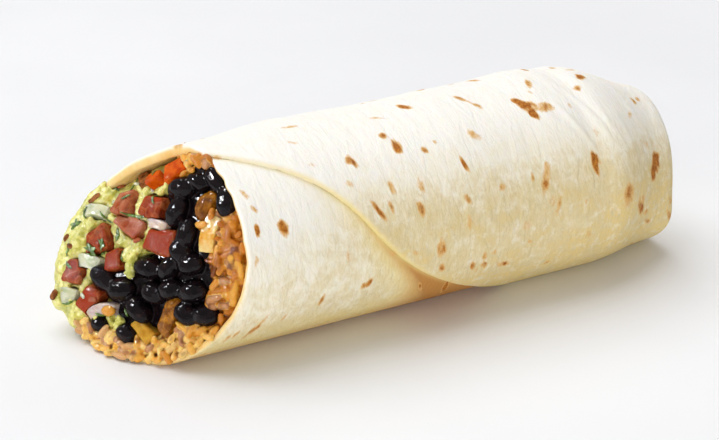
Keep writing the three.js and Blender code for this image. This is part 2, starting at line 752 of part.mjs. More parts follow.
function placeHeap(name, outline, inset, lump, pieces, finish) {
  const core = packedFilling(inset, lump);
  const shapes = outline ? [throughRoll(outline)] : [];
  const body = shapes.reduce((solid, shape) => solid.intersect(toSolid(shape)), toSolid(core));
  const room = [...shapes, ...pieces].map((shape) => toSolid(swollen(shape, GAP, 1.15)));
  place(name, joined([body, ...pieces.map(toSolid)]), room, finish);
}

const FINISH = {
  tortilla: [0xeadfbf, 0.85],
  tomato: [0xb8351c, 0.3],
  pepper: [0xd8480f, 0.3],
  onion: [0xd9cdb8, 0.3],
  stewed: [0x9a4b10, 0.2],
  cilantro: [0x3f6b22, 0.5],
  beans: [0x15110f, 0.25],
  guacamole: [0xaeb04a, 0.5],
  rice: [0xc98436, 0.45],
};

const wrap = tortilla();
const floor = new THREE.BoxGeometry(3 * BODY_LENGTH, 3 * BODY_LENGTH, 2).translate(0, 0, GAP - 1);
place("tortilla", toSolid(wrap), [toSolid(swollen(wrap, GAP, 1)), toSolid(floor)], FINISH.tortilla);
placePieces("cilantro", CILANTRO, leaf, FINISH.cilantro);
placePieces("onion", ONIONS, slice, FINISH.onion);
placePieces("tomato", TOMATOES, dice, FINISH.tomato);
placePieces("pepper", PEPPERS, dice, FINISH.pepper);
placePieces("stewed_pepper", STEWED, strip, FINISH.stewed);
placeHeap("black_beans", BEAN_OUTLINE, 1.7, 0, BEANS.map(bean), FINISH.beans);
placeHeap("guacamole", GUACAMOLE_OUTLINE, 0.5, 0.9, GUACAMOLE_HEAPS.map(heap), FINISH.guacamole);
placeHeap("rice", null, 0.3, 0, riceGrains(), FINISH.rice);

export default burrito;
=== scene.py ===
"""The looks of a burrito on its side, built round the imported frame.

Lengths are millimetres until a mesh is made. s runs along the roll from the near lip of the mouth. phi is an
angle in radians, up from the near side and over the top to the far side. The tables give angles in degrees. On
the wrap, up is phi. On the mouth, across (to the far side) and up are lengths from the roll's axis.
"""

import math

import bmesh
import bpy
import numpy as np
from mathutils import Matrix, Vector
from mathutils.bvhtree import BVHTree
from mathutils.kdtree import KDTree


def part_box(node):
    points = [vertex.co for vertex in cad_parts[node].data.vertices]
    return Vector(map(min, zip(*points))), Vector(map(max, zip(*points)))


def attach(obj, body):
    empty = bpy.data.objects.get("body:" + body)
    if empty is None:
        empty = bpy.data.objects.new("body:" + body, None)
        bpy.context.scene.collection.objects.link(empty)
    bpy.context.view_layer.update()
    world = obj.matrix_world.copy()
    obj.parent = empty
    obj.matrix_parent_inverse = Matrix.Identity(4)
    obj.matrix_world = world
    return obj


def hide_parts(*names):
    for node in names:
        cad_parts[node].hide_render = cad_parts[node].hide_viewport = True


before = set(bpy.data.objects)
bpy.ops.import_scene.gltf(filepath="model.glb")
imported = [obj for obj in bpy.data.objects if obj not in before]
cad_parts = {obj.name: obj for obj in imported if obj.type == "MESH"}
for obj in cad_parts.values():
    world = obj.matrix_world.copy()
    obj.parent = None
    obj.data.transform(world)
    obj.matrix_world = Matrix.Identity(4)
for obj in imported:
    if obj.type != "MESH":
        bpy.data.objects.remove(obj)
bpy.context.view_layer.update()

MM = 0.001
RNG = np.random.default_rng(7)

# ---- the roll's form, as the solids have it ----
BODY_LENGTH = 163.5
MOUTH_SWEEP, MOUTH_TURN, MOUTH_POWER = 39.7, 44.4, 1.5
MOUTH_WIDTH, MOUTH_HEIGHT = 65.0, 64.0
BELLY_WIDTH, BELLY_HEIGHT, BELLY_FROM, BELLY_TO = 65.6, 64.6, 9.0, 103.0
END_WIDTH, END_HEIGHT, WIDTH_TAPER_AT, HEIGHT_TAPER_AT = 42.0, 52.4, 130.0, 128.0
LIP_DENT, LIP_DENT_AT, LIP_DENT_SPREAD, LIP_DENT_FROM, LIP_DENT_TO = 2.8, 125.0, 34.0, -10.0, 30.0
LIP_NICK, LIP_NICK_AT, LIP_NICK_TURN = 4.0, 246.0, 16.0
SUNK, END_LIFT = 0.07, 0.9
FLAP, WALL, TUCK = 1.7, 1.8, 38.0
END_CORNER, END_DISH, PLEAT, PLEATS = 5.0, 2.5, 0.9, 5
END_SPREAD, END_SPREAD_AT, END_SPREAD_TURN, END_SPREAD_FROM, END_SPREAD_TO = 3.4, -34.0, 20.0, 145.0, 162.0
TUCK_HUMP, TUCK_HUMP_AT, TUCK_HUMP_LENGTH = 1.5, 113.0, 12.0
CREASE_AT, CREASE_DEPTH, CREASE_LENGTH, CREASE_TURN = 125.0, 0.8, 4.0, 0.6
UNEVEN = 0.2
SWELLS = [(15, 2, 0), (21, -3, 1), (9, -1, 0)]
SEAM_START, SEAM_SLOPE, SEAM_DROP, SEAM_DROP_AT, SEAM_DROP_LENGTH = 79.0, 1.13, 31.5, 39.4, 6.4
WRAP_RADIUS, FILL_CLEARANCE = MOUTH_WIDTH / 2, 0.6
FILL_RADIUS, FILL_BULGE, FLAT_FACE = WRAP_RADIUS - WALL - FILL_CLEARANCE, 3.5, 0.62
LIP_INSET = [
    (0, 2.5), (70, 3), (100, 7), (125, 9), (150, 6), (172, -0.5),
    (205, -1), (235, -1.4), (265, -1), (300, 0.2), (335, 2), (360, 2.5),
]
GIRTH = 2 * math.pi * WRAP_RADIUS

MIDDLE = BODY_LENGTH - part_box("tortilla")[1][0] / MM  # from the near lip to the part's own origin


def smoothstep(x, low, high):
    t = np.clip((x - low) / (high - low), 0, 1)
    return t * t * (3 - 2 * t)


def bump(x, at, length):
    return np.exp(-(((x - at) / length) ** 2))


def unit(vectors):
    return vectors / np.linalg.norm(vectors, axis=-1, keepdims=True)


def degrees_from(direction, phi):
    """How far phi lies from a direction given in degrees, from -180 to 180."""
    return (np.degrees(phi) - direction + 180) % 360 - 180


def half_size(s, mouth, belly, end, taper_at):
    swell = (belly - mouth) / 2 * smoothstep(s, BELLY_FROM, BELLY_TO)
    return mouth / 2 + swell - (belly - end) / 2 * smoothstep(s, taper_at, BODY_LENGTH)


def half_width(s):
    return half_size(s, MOUTH_WIDTH, BELLY_WIDTH, END_WIDTH, WIDTH_TAPER_AT)


def half_height(s):
    return half_size(s, MOUTH_HEIGHT, BELLY_HEIGHT, END_HEIGHT, HEIGHT_TAPER_AT)


def axis_height(s):
    return (1 - SUNK) * half_height(s) + END_LIFT * smoothstep(s, HEIGHT_TAPER_AT, BODY_LENGTH)


def lip_dent(s, phi):
    fade = 1 - smoothstep(s, LIP_DENT_FROM, LIP_DENT_TO)
    return LIP_DENT * bump(np.degrees(phi) % 360, LIP_DENT_AT, LIP_DENT_SPREAD) * fade


def end_spread(s, phi):
    turn = degrees_from(END_SPREAD_AT, phi)
    return END_SPREAD * bump(turn, 0, END_SPREAD_TURN) * smoothstep(s, END_SPREAD_FROM, END_SPREAD_TO)


def section_point(s, phi, grow, scale=1.0):
    """The section's y and z at s, out from the under layer's surface by grow, and flat where the roll rests."""
    out = grow - lip_dent(s, phi)
    y = -((half_width(s) + out) * np.cos(phi) + end_spread(s, phi)) * scale
    z = (half_height(s) + out) * np.sin(phi) * scale
    return y, np.maximum(z + axis_height(s), np.maximum(-grow, 0))


def lip_nick(phi):
    return LIP_NICK * bump(degrees_from(LIP_NICK_AT, phi), 0, LIP_NICK_TURN)


def lip_at(phi):
    share = (1 - np.cos(phi - math.radians(MOUTH_TURN))) / 2
    return -MOUTH_SWEEP * share**MOUTH_POWER + lip_nick(phi)


def seam_angle(s):
    drop = SEAM_DROP / (1 + np.exp(-(s - SEAM_DROP_AT) / SEAM_DROP_LENGTH))
    return np.radians(SEAM_START - SEAM_SLOPE * s - drop)


def relief(s, phi):
    swell = UNEVEN * sum(np.sin(s / length + turns * phi + start) for length, turns, start in SWELLS)
    hump = TUCK_HUMP * bump(s, TUCK_HUMP_AT, TUCK_HUMP_LENGTH) * np.maximum(np.sin(phi), 0) ** 2
    crease = CREASE_DEPTH * bump(s, CREASE_AT, CREASE_LENGTH) * np.maximum(np.sin(phi + CREASE_TURN), 0)
    return (swell + hump - crease) * smoothstep(np.sin(phi), -0.9, -0.5)


def lip_inset(phi):
    angle = np.asarray(np.degrees(phi)) % 360
    inset = np.zeros_like(angle)
    for (a, low), (b, high) in zip(LIP_INSET, LIP_INSET[1:]):
        share = smoothstep(angle, a, b)
        inset = np.where((angle >= a) & (angle < b), low + (high - low) * share, inset)
    return inset


def face_depth(y, z):
    """Where along the roll the filling's surface lies, over a place of the section given from the axis."""
    turn = math.radians(MOUTH_TURN)
    to_lip = np.clip((-y * math.cos(turn) + z * math.sin(turn)) / WRAP_RADIUS, -1, 1)
    reach = np.hypot(y, z) / FILL_RADIUS
    phi = np.arctan2(z, -y)
    edge = (lip_inset(phi) + lip_nick(phi)) * smoothstep(reach, FLAT_FACE, 1)
    bulge = FILL_BULGE * (1 - np.minimum(reach, 1) ** 2)
    return -MOUTH_SWEEP * ((1 - to_lip) / 2) ** MOUTH_POWER + edge - bulge


def surface_frame(y, z):
    """The filling's surface at a place: its point, and its axes across, up and out as a matrix's columns."""
    out = unit(np.array([
        -1.0,
        (face_depth(y + 1, z) - face_depth(y - 1, z)) / 2,
        (face_depth(y, z + 1) - face_depth(y, z - 1)) / 2,
    ]))
    up = unit(np.array([0, 0, 1.0]) - out * out[2])
    place = np.array([float(face_depth(y, z)), y, z + axis_height(0.0)])
    return place, np.column_stack([np.cross(up, out), up, out])


# ---- noise and meshes ----
HASH_X, HASH_Y, HASH_Z, HASH_SEED = 374761393, 668265263, 1442695041, 1274126177
WORD = 0xFFFFFFFF


def lattice(x, y, z, seed):
    """A number from -1 to 1 for each point of a grid."""
    mixed = (x * HASH_X + y * HASH_Y + z * HASH_Z + seed * HASH_SEED) & WORD
    mixed = ((mixed ^ (mixed >> 13)) * HASH_SEED) & WORD
    return ((mixed ^ (mixed >> 16)) & 0xFFFF) / 32767.5 - 1


def noise(points, size, seed=0):
    """Smooth noise from -1 to 1, with features of that size; size may differ by axis."""
    scaled = np.asarray(points, float) / size
    cell = np.floor(scaled).astype(np.int64)
    f = scaled - cell
    f = f * f * (3 - 2 * f)
    total = 0
    for corner in range(8):
        step = np.array([corner & 1, corner >> 1 & 1, corner >> 2 & 1])
        weight = np.prod(np.where(step, f, 1 - f), axis=-1)
        at = cell + step
        total = total + weight * lattice(at[..., 0], at[..., 1], at[..., 2], seed)
    return total


def rough(points, size, octaves, seed=0):
    return sum(0.5**k * noise(points, np.asarray(size) / 2**k, seed + 17 * k) for k in range(octaves))


def unrolled(s, phi):
    """Points of the wrap laid out flat: along it, round it, and 0."""
    return np.stack([s, phi * WRAP_RADIUS, np.zeros_like(s)], -1)


def to_part(points):
    """Points in the part's frame and in metres, from millimetres in the roll's frame."""
    return ((np.asarray(points) - [MIDDLE, 0, 0]) * MM).tolist()


def listed(faces):
    return faces if isinstance(faces, list) else faces.tolist()


def linked(name, data):
    obj = bpy.data.objects.new(name, data)
    bpy.context.collection.objects.link(obj)
    return obj


def new_object(name, points, faces, attributes=None):
    """A smooth object from points in the roll's frame. Attributes are numbers for each point."""
    mesh = bpy.data.meshes.new(name)
    mesh.from_pydata(to_part(points), [], listed(faces))
    for key, values in (attributes or {}).items():
        layer = mesh.attributes.new(key, "FLOAT", "POINT")
        layer.data.foreach_set("value", np.asarray(values, np.float32))
    mesh.shade_smooth()
    return linked(name, mesh)


def show(obj, material, slot, *nodes):
    """Gives a piece its material and body; it stands for the nodes named."""
    obj.data.materials.clear()
    obj.data.materials.append(material)
    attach(obj, "root")
    if nodes:
        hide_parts(*nodes)
    return obj


def merged(parts):
    """One set of points, faces and attributes from several."""
    points, faces, attributes, start = [], [], {}, 0
    for part_points, part_faces, *rest in parts:
        points.append(part_points)
        faces += [[i + start for i in face] for face in listed(part_faces)]
        for key, values in (rest[0] if rest else {}).items():
            attributes.setdefault(key, []).append(np.broadcast_to(values, len(part_points)))
        start += len(part_points)
    return np.concatenate(points), faces, {key: np.concatenate(v) for key, v in attributes.items()}


def arrays(mesh):
    """A mesh's points in the roll's frame, and its triangles."""
    points = np.empty(len(mesh.vertices) * 3)
    mesh.vertices.foreach_get("co", points)
    mesh.calc_loop_triangles()
    triangles = np.empty(len(mesh.loop_triangles) * 3, np.int32)
    mesh.loop_triangles.foreach_get("vertices", triangles)
    return points.reshape(-1, 3) / MM + [MIDDLE, 0, 0], triangles.reshape(-1, 3)


def normals_of(points, faces):
    a, b, c = (points[faces[:, i]] for i in range(3))
    across = np.cross(b - a, c - a)
    total = np.zeros_like(points)
    for i in range(3):
        np.add.at(total, faces[:, i], across)
    return total / np.maximum(np.linalg.norm(total, axis=1, keepdims=True), 1e-9)


def eased(points, faces, passes):
    """The points drawn towards their neighbours and back a little, which rounds edges but keeps the size."""
    pairs = np.concatenate([faces[:, [0, 1]], faces[:, [1, 2]], faces[:, [2, 0]]])
    counts = np.maximum(np.bincount(pairs[:, 0], minlength=len(points)), 1)[:, None]
    for share in (0.5, -0.35) * passes:
        total = np.zeros_like(points)
        np.add.at(total, pairs[:, 0], points[pairs[:, 1]])
        points = points + share * (total / counts - points)
    return points


def remeshed(mesh, voxel, passes):
    """A mesh's outer surface in fine facets with its edges rounded: (points, triangles)."""
    obj = linked("refining", mesh)
    remesh = obj.modifiers.new("fine", "REMESH")
    remesh.mode = "VOXEL"
    remesh.voxel_size = voxel * MM
    done = bpy.data.meshes.new_from_object(obj.evaluated_get(bpy.context.evaluated_depsgraph_get()))
    bpy.data.objects.remove(obj)
    points, faces = arrays(done)
    return eased(points, faces, passes), faces


def refined(node, voxel, passes, cut=None):
    """A CAD node's shape, remeshed. With cut, only what lies before that place along the roll is fine, and the
    rest is kept as it is."""
    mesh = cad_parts[node].data.copy()
    if cut is None:
        return remeshed(mesh, voxel, passes)
    return *remeshed(sliced(mesh, cut, front=True), voxel, passes), *arrays(sliced(mesh, cut, front=False))


def fused(parts, voxel, passes):
    """Several closed shapes as one skin over them all."""
    points, faces, _ = merged(parts)
    mesh = bpy.data.meshes.new("fusing")
    mesh.from_pydata(to_part(points), [], faces)
    return remeshed(mesh, voxel, passes)


def sliced(mesh, cut, front):
    """A copy of a closed mesh cut across the roll, closed again at the cut."""
    copy = mesh.copy()
    body = bmesh.new()
    body.from_mesh(copy)
    bmesh.ops.remove_doubles(body, verts=body.verts[:], dist=1e-6)
    bmesh.ops.bisect_plane(
        body,
        geom=body.verts[:] + body.edges[:] + body.faces[:],
        plane_co=((cut - MIDDLE) * MM, 0, 0),
        plane_no=(1 if front else -1, 0, 0),
        clear_outer=True,
    )
    bmesh.ops.holes_fill(body, edges=[e for e in body.edges if e.is_boundary])
    body.to_mesh(copy)
    body.free()
    return copy


# ---- materials ----
class Shader:
    """A material with a Principled shader and the nodes that feed it."""

    def __init__(self, name, **sockets):
        self.material = bpy.data.materials.new(name)
        self.material.use_nodes = True
        self.nodes = self.material.node_tree.nodes
        self.principled = self.nodes["Principled BSDF"]
        for key, value in sockets.items():
            self.principled.inputs[key.replace("_", " ")].default_value = value
        self.place = self.nodes.new("ShaderNodeTexCoord").outputs["Object"]

    def link(self, source, node, socket):
        self.material.node_tree.links.new(source, node.inputs[socket])

    def feed(self, source, socket):
        self.link(source, self.principled, socket)

    def stretched(self, x, y, z):
        node = self.nodes.new("ShaderNodeMapping")
        node.inputs["Scale"].default_value = (x, y, z)
        self.link(self.place, node, "Vector")
        return node.outputs[0]

    def attribute(self, name):
        node = self.nodes.new("ShaderNodeAttribute")
        node.attribute_name = name
        return node.outputs["Fac"]

    def noise(self, size=None, detail=4.0, roughness=0.55, distortion=0.0, place=None):
        node = self.nodes.new("ShaderNodeTexNoise")
        node.inputs["Scale"].default_value = 1.0 if size is None else 1 / (size * MM)
        node.inputs["Detail"].default_value = detail
        node.inputs["Roughness"].default_value = roughness
        node.inputs["Distortion"].default_value = distortion
        self.link(place or self.place, node, "Vector")
        return node.outputs["Fac"]

    def on_wrap(self, along, round_it, size, **kind):
        """Noise stretched along the wrap and round it. It is plain on the shut face, where it would draw together
        towards the middle."""
        node = self.nodes.new("ShaderNodeCombineXYZ")
        for name, length, socket in (("along", along, "X"), ("round", round_it, "Y")):
            self.link(self.math("DIVIDE", self.attribute(name), length), node, socket)
        wrapped = self.noise(place=node.outputs[0], **kind)
        return self.mix(self.attribute("cap"), wrapped, self.noise(size, **kind))

    def cells(self, size, feature="F1"):
        node = self.nodes.new("ShaderNodeTexVoronoi")
        node.feature = feature
        node.inputs["Scale"].default_value = 1 / (size * MM)
        self.link(self.place, node, "Vector")
        return node.outputs["Distance"]

    def math(self, operation, a, b):
        node = self.nodes.new("ShaderNodeMath")
        node.operation = operation
        for i, value in enumerate((a, b)):
            if isinstance(value, (int, float)):
                node.inputs[i].default_value = value
            else:
                self.link(value, node, i)
        return node.outputs[0]

    def swing(self, source, share):
        """How far a noise departs from its middle, times a share."""
        return self.math("MULTIPLY", self.math("SUBTRACT", source, 0.5), share)

    def ramp(self, source, *stops):
        node = self.nodes.new("ShaderNodeValToRGB")
        elements = node.color_ramp.elements
        while len(elements) < len(stops):
            elements.new(0.5)
        for element, (at, color) in zip(elements, stops):
            element.position = at
            element.color = (*color, 1) if isinstance(color, tuple) else (color, color, color, 1)
        self.link(source, node, "Fac")
        return node.outputs["Color"]

    def mix(self, share, a, b):
        node = self.nodes.new("ShaderNodeMix")
        node.data_type = "RGBA"
        for index, value in ((0, share), (6, a), (7, b)):
            if isinstance(value, tuple):
                node.inputs[index].default_value = (*value, 1)
            else:
                self.link(value, node, index)
        return node.outputs[2]

    def blotched(self, base, color, source, low, high, share):
        """The base with blotches of a colour, where the source is high."""
        return self.mix(self.ramp(source, (low, 0.0), (high, share)), base, color)

    def finished(self, color, *bumps):
        """Each bump is (height, depth in millimetres, strength)."""
        self.feed(color, "Base Color")
        last = None
        for height, depth, strength in bumps:
            node = self.nodes.new("ShaderNodeBump")
            node.inputs["Distance"].default_value = depth * MM
            node.inputs["Strength"].default_value = strength
            self.link(height, node, "Height")
            if last:
                self.link(last, node, "Normal")
            last = node.outputs[0]
        self.feed(last, "Normal")
        self.feed(last, "Coat Normal")
        return self.material


def soft(share, radius, depth):
    """Sockets for light that goes in and comes out again, from a depth in millimetres."""
    return {"Subsurface_Weight": share, "Subsurface_Radius": radius, "Subsurface_Scale": depth * MM}


def coated(share, roughness):
    """Sockets for a wet coat."""
    return {"Coat_Weight": share, "Coat_Roughness": roughness}


def mottled_look(name, mottle, stops, *bumps, **sockets):
    """One mottled colour. Mottle and each bump's first item say what noise it is, as Shader.noise takes it."""
    look = Shader(name, **sockets)
    color = look.ramp(look.noise(*mottle), *stops)
    bumps = [(look.noise(*texture), depth, strength) for texture, depth, strength in bumps]
    return look.finished(color, *bumps)


def tortilla_look():
    look = Shader("tortilla", **soft(0.2, (1.0, 0.6, 0.3), 1.8), Specular_IOR_Level=0.2)
    painted_shade, painted_bounce_and_shade = look.attribute("painted_shade"), look.attribute("painted_bounce_and_shade")
    patches = look.on_wrap(8, 7, 7.5, detail=4, roughness=0.6)
    strokes = look.on_wrap(2.0, 3.4, 2.7, detail=4, roughness=0.6, distortion=0.8)
    fine = look.on_wrap(0.9, 1.6, 1.2, detail=5, roughness=0.7)
    powder = look.on_wrap(3.2, 4.0, 3.6, detail=5, roughness=0.7)
    pulls = look.on_wrap(2.6, 9, 5.0, detail=3, roughness=0.5, distortion=0.9)
    drift = look.math("ADD", look.swing(patches, 1.1), look.swing(strokes, 0.7))
    drift = look.math("MULTIPLY", drift, look.math("ADD", painted_shade, 0.28))
    # The flour's colour runs from white where the painted shade is low to deep yellow where it is high: this
    # paints the light and shade of the roll's sides.
    flour_and_shade = look.ramp(
        look.math("ADD", painted_shade, drift),
        (0.0, (0.93, 0.915, 0.86)), (0.3, (0.90, 0.85, 0.70)), (0.55, (0.79, 0.69, 0.45)),
        (0.8, (0.75, 0.62, 0.34)), (1.0, (0.78, 0.61, 0.27)),
    )
    # Grey streaks along the strokes, as strong as the painted shade: painted shade in the fine wrinkles.
    stroke_shade = look.math("MULTIPLY", look.ramp(strokes, (0.48, 0.0), (0.70, 0.6)), painted_shade)
    stroke_shaded = look.mix(stroke_shade, flour_and_shade, (0.66, 0.59, 0.41))
    powdered = look.blotched(stroke_shaded, (0.92, 0.89, 0.80), powder, 0.52, 0.68, 0.5)
    # Painted warm light and shade: a yellow bounce of light low by the mouth, and warm brown shadow below the
    # flap's edge and on the tucked side.
    bounce_and_shade_colour = look.ramp(
        painted_bounce_and_shade, (0.35, (0.88, 0.70, 0.24)), (0.65, (0.72, 0.44, 0.12)), (0.95, (0.54, 0.26, 0.07)),
    )
    # The flap's edge is tinted yellow, and a painted shadow lies on the under layer just below it.
    edge_banded_and_shaded = look.mix(look.attribute("edge_band_and_shade"), look.mix(painted_bounce_and_shade, powdered, bounce_and_shade_colour), (0.80, 0.66, 0.27))
    toast = look.math("ADD", look.attribute("toast"), look.swing(fine, 1.1))
    browned = look.blotched(edge_banded_and_shaded, (0.74, 0.46, 0.17), toast, 0.0, 0.42, 0.95)
    burnt = look.ramp(look.noise(0.9, 3), (0.34, (0.30, 0.082, 0.010)), (0.66, (0.58, 0.23, 0.034)))
    crusted = look.blotched(browned, burnt, toast, 0.40, 0.84, 1.0)
    wet = look.ramp(patches, (0.35, (0.86, 0.56, 0.18)), (0.65, (0.92, 0.72, 0.34)))
    look.feed(look.ramp(look.noise(3.0, 3), (0.3, 0.62), (0.7, 0.8)), "Roughness")
    return look.finished(
        look.mix(look.attribute("inside"), crusted, wet),
        (pulls, 1.0, 0.4), (strokes, 0.6, 0.3), (fine, 0.2, 0.5), (toast, 0.2, 0.2),
    )


def tomato_look():
    look = Shader(
        "tomato", **soft(0.3, (1.0, 0.3, 0.1), 1.2), **coated(0.5, 0.03),
        Specular_IOR_Level=0.0, Roughness=0.4,
    )
    flesh = look.ramp(
        look.noise(2.4, 6, 0.6),
        (0.32, (0.37, 0.070, 0.011)), (0.5, (0.28, 0.033, 0.004)), (0.66, (0.16, 0.013, 0.002)),
    )
    veins = look.ramp(look.cells(3.6, "DISTANCE_TO_EDGE"), (0.0, 0.3), (0.08, 0.0))
    veined = look.mix(veins, flesh, (0.66, 0.28, 0.10))
    skinned = look.mix(look.attribute("skin"), veined, (0.32, 0.028, 0.002))
    paled = look.mix(look.attribute("pale"), skinned, (0.52, 0.20, 0.10))
    return look.finished(paled, (look.noise(0.9, 5, 0.65), 0.25, 0.6), (look.noise(3.5, 2), 0.6, 0.4))


def cooked_look():
    return mottled_look(
        "cooked_tomato", (1.8, 5, 0.6),
        [(0.35, (0.10, 0.028, 0.008)), (0.5, (0.26, 0.085, 0.022)), (0.68, (0.46, 0.20, 0.06))],
        ((1.1, 5, 0.65), 0.5, 0.8),
        **soft(0.2, (1.0, 0.4, 0.15), 1.2), **coated(0.28, 0.05), Specular_IOR_Level=0.0, Roughness=0.4,
    )


def pepper_look(name, deep, bright):
    return mottled_look(
        name, (2.2, 5), [(0.35, deep), (0.62, bright)], ((0.8, 5, 0.6), 0.12, 0.6),
        **soft(0.4, (1.0, 0.3, 0.08), 1.2), **coated(0.35, 0.04), Specular_IOR_Level=0.0, Roughness=0.4,
    )


def onion_look(name, pale, deep, tint):
    look = Shader(
        name, **soft(0.8, (1.0, 0.9, 0.7), 2.5), **coated(0.6, 0.05),
        Roughness=0.25, Transmission_Weight=0.1, IOR=1.36,
    )
    lines = look.noise(place=look.stretched(900, 250, 900), detail=3)
    tinted = look.blotched(look.ramp(lines, (0.38, deep), (0.6, pale)), tint, look.noise(4, 2), 0.42, 0.6, 0.75)
    return look.finished(tinted, (lines, 0.2, 0.5), (look.noise(0.8, 3), 0.1, 0.4))


def stewed_look():
    return mottled_look(
        "stewed_pepper", (3.0, 4, 0.55, 0.6),
        [(0.3, (0.10, 0.028, 0.002)), (0.5, (0.24, 0.080, 0.004)), (0.68, (0.48, 0.20, 0.014))],
        ((1.4, 4), 0.35, 0.6), ((0.5, 2), 0.06, 0.4),
        **soft(0.35, (1.0, 0.5, 0.12), 1.6), **coated(0.7, 0.03), Specular_IOR_Level=0.0, Roughness=0.3,
    )


def bean_look():
    look = Shader("black_beans", Specular_IOR_Level=0.0, **coated(0.42, 0.04))
    skin = look.ramp(
        look.noise(2.6, 4),
        (0.36, (0.003, 0.0022, 0.003)), (0.6, (0.008, 0.0045, 0.006)), (0.75, (0.024, 0.010, 0.007)),
    )
    look.feed(look.ramp(look.noise(1.6, 3), (0.3, 0.15), (0.7, 0.35)), "Roughness")
    wrinkled = look.noise(place=look.stretched(620, 420, 420), detail=3, roughness=0.55, distortion=1.4)
    return look.finished(skin, (wrinkled, 0.35, 0.3), (look.noise(0.9, 3), 0.12, 0.4))


def guacamole_look():
    look = Shader("guacamole", **soft(0.35, (1.0, 0.9, 0.25), 1.5), **coated(0.4, 0.08), Roughness=0.38)
    mash = look.ramp(
        look.noise(2.6, 6, 0.62, distortion=0.7),
        (0.28, (0.36, 0.34, 0.05)), (0.42, (0.60, 0.58, 0.10)), (0.56, (0.81, 0.77, 0.23)),
        (0.72, (0.89, 0.85, 0.50)),
    )
    greener = look.blotched(mash, (0.34, 0.38, 0.05), look.noise(4.5, 3), 0.5, 0.66, 0.6)
    reddened = look.blotched(greener, (0.60, 0.33, 0.06), look.noise(3.2, 4), 0.60, 0.70, 0.4)
    specks = look.ramp(look.cells(1.5), (0.07, 1.0), (0.14, 0.0))
    return look.finished(
        look.mix(specks, reddened, (0.14, 0.12, 0.02)),
        (look.noise(1.8, 6, 0.65), 0.6, 0.7), (look.noise(0.5, 3), 0.12, 0.6),
    )


def rice_look():
    look = Shader(
        "rice", **soft(0.45, (1.0, 0.5, 0.18), 1.3), **coated(0.75, 0.04),
        Specular_IOR_Level=0.1, Roughness=0.4,
    )
    grain = look.ramp(
        look.attribute("shade"),
        (0.0, (0.36, 0.10, 0.006)), (0.3, (0.56, 0.21, 0.016)), (0.55, (0.78, 0.42, 0.060)),
        (0.8, (0.90, 0.66, 0.22)), (0.92, (0.56, 0.30, 0.13)), (1.0, (0.42, 0.21, 0.10)),
    )
    stained = look.blotched(grain, (0.56, 0.18, 0.010), look.noise(1.7, 4), 0.44, 0.72, 0.5)
    # The gaps between the grains are darkened: sauce there, and painted shade.
    sauced_and_shaded = look.mix(look.attribute("sauce"), stained, (0.17, 0.045, 0.006))
    return look.finished(sauced_and_shaded, (look.noise(1.4, 3, 0.5), 0.22, 0.5))


def leaf_look():
    return mottled_look(
        "cilantro", (1.5, 4),
        [(0.35, (0.04, 0.09, 0.008)), (0.55, (0.10, 0.20, 0.02)), (0.72, (0.26, 0.40, 0.06))],
        ((0.5, 3), 0.08, 0.6),
        Subsurface_Weight=0.1, Subsurface_Scale=0.5 * MM, Roughness=0.36, Coat_Weight=0.3,
    )


# ---- shapes that several pieces are made from ----
def blunted(x, power):
    return np.sign(x) * np.abs(x) ** power


def ring_faces(count, rim, closed=True, clockwise=False):
    """Faces that join rings of points. When closed, a point comes before the first ring and after the last."""
    here = closed + np.arange(count * rim).reshape(count, rim)
    there = np.roll(here, -1, axis=1)
    faces = np.stack([here[:-1], here[1:], there[1:], there[:-1]], -1).reshape(-1, 4).tolist()
    if closed:
        faces += [[0, a, b] for a, b in zip(here[0].tolist(), there[0].tolist())]
        faces += [[count * rim + 1, b, a] for a, b in zip(here[-1].tolist(), there[-1].tolist())]
    return [[face[0], *face[:0:-1]] for face in faces] if clockwise else faces


def ball(across, down):
    """A unit ball: points, and faces that look outwards."""
    up = np.linspace(0, math.pi, down + 1)[1:-1, None]
    turn = np.arange(across) / across * 2 * math.pi
    rings = np.stack([np.cos(up) + 0 * turn, np.sin(up) * np.cos(turn), np.sin(up) * np.sin(turn)], -1)
    return np.concatenate([[[1, 0, 0]], rings.reshape(-1, 3), [[-1, 0, 0]]]), ring_faces(down - 1, across)


def turned_by(turn, lean, axis="X"):
    turn, lean = Matrix.Rotation(math.radians(turn), 3, "Z"), Matrix.Rotation(math.radians(lean), 3, axis)
    return np.array(turn) @ np.array(lean)


def laid(points, at, axes, turn, lift, lean=0):
    """Points turned, lifted and laid on a surface, whose place and axes are given."""
    return (points @ turned_by(turn, lean).T + [0, 0, lift]) @ axes.T + at


# ---- the tortilla ----
BODY_ROWS, INNER_ROWS = 300, 14
RIM_BENDS = np.radians([-80, -60, -35, -10, 15, 40, 65])
CORNER_BENDS = np.linspace(0, math.pi / 2, 15)[1:]
CLOSING = np.linspace(1, 0, 18)[1:-1]  # rows across the shut end, as shares of its size
EDGE_ROUND, RIM_ROUND = 2.2, 0.9  # how far in the flap's edge and the lip round off
INNER_END = BODY_LENGTH - TUCK
UNTOASTED = -0.4
SPOT_REACH = 12

# The columns of the wrap as shares of a turn, from the start of the under layer to the flap's edge. Beside that
# edge they are close together.
ON_FLAP = np.array([0, 0.1, 0.22, 0.38, 0.58, 0.82, 1.1, 1.45, 1.9])
UNDER_FLAP = np.array([0, 0.2, 0.45, 0.8, 1.3])
EVENLY = np.linspace(1.9 / GIRTH, 1 - 2.6 / GIRTH, 256 - len(ON_FLAP) - len(UNDER_FLAP))
TURNED = np.concatenate([UNDER_FLAP / GIRTH, EVENLY, 1 - (ON_FLAP / GIRTH)[::-1]])[None, :]
FROM_EDGE = (1 - TURNED) * GIRTH

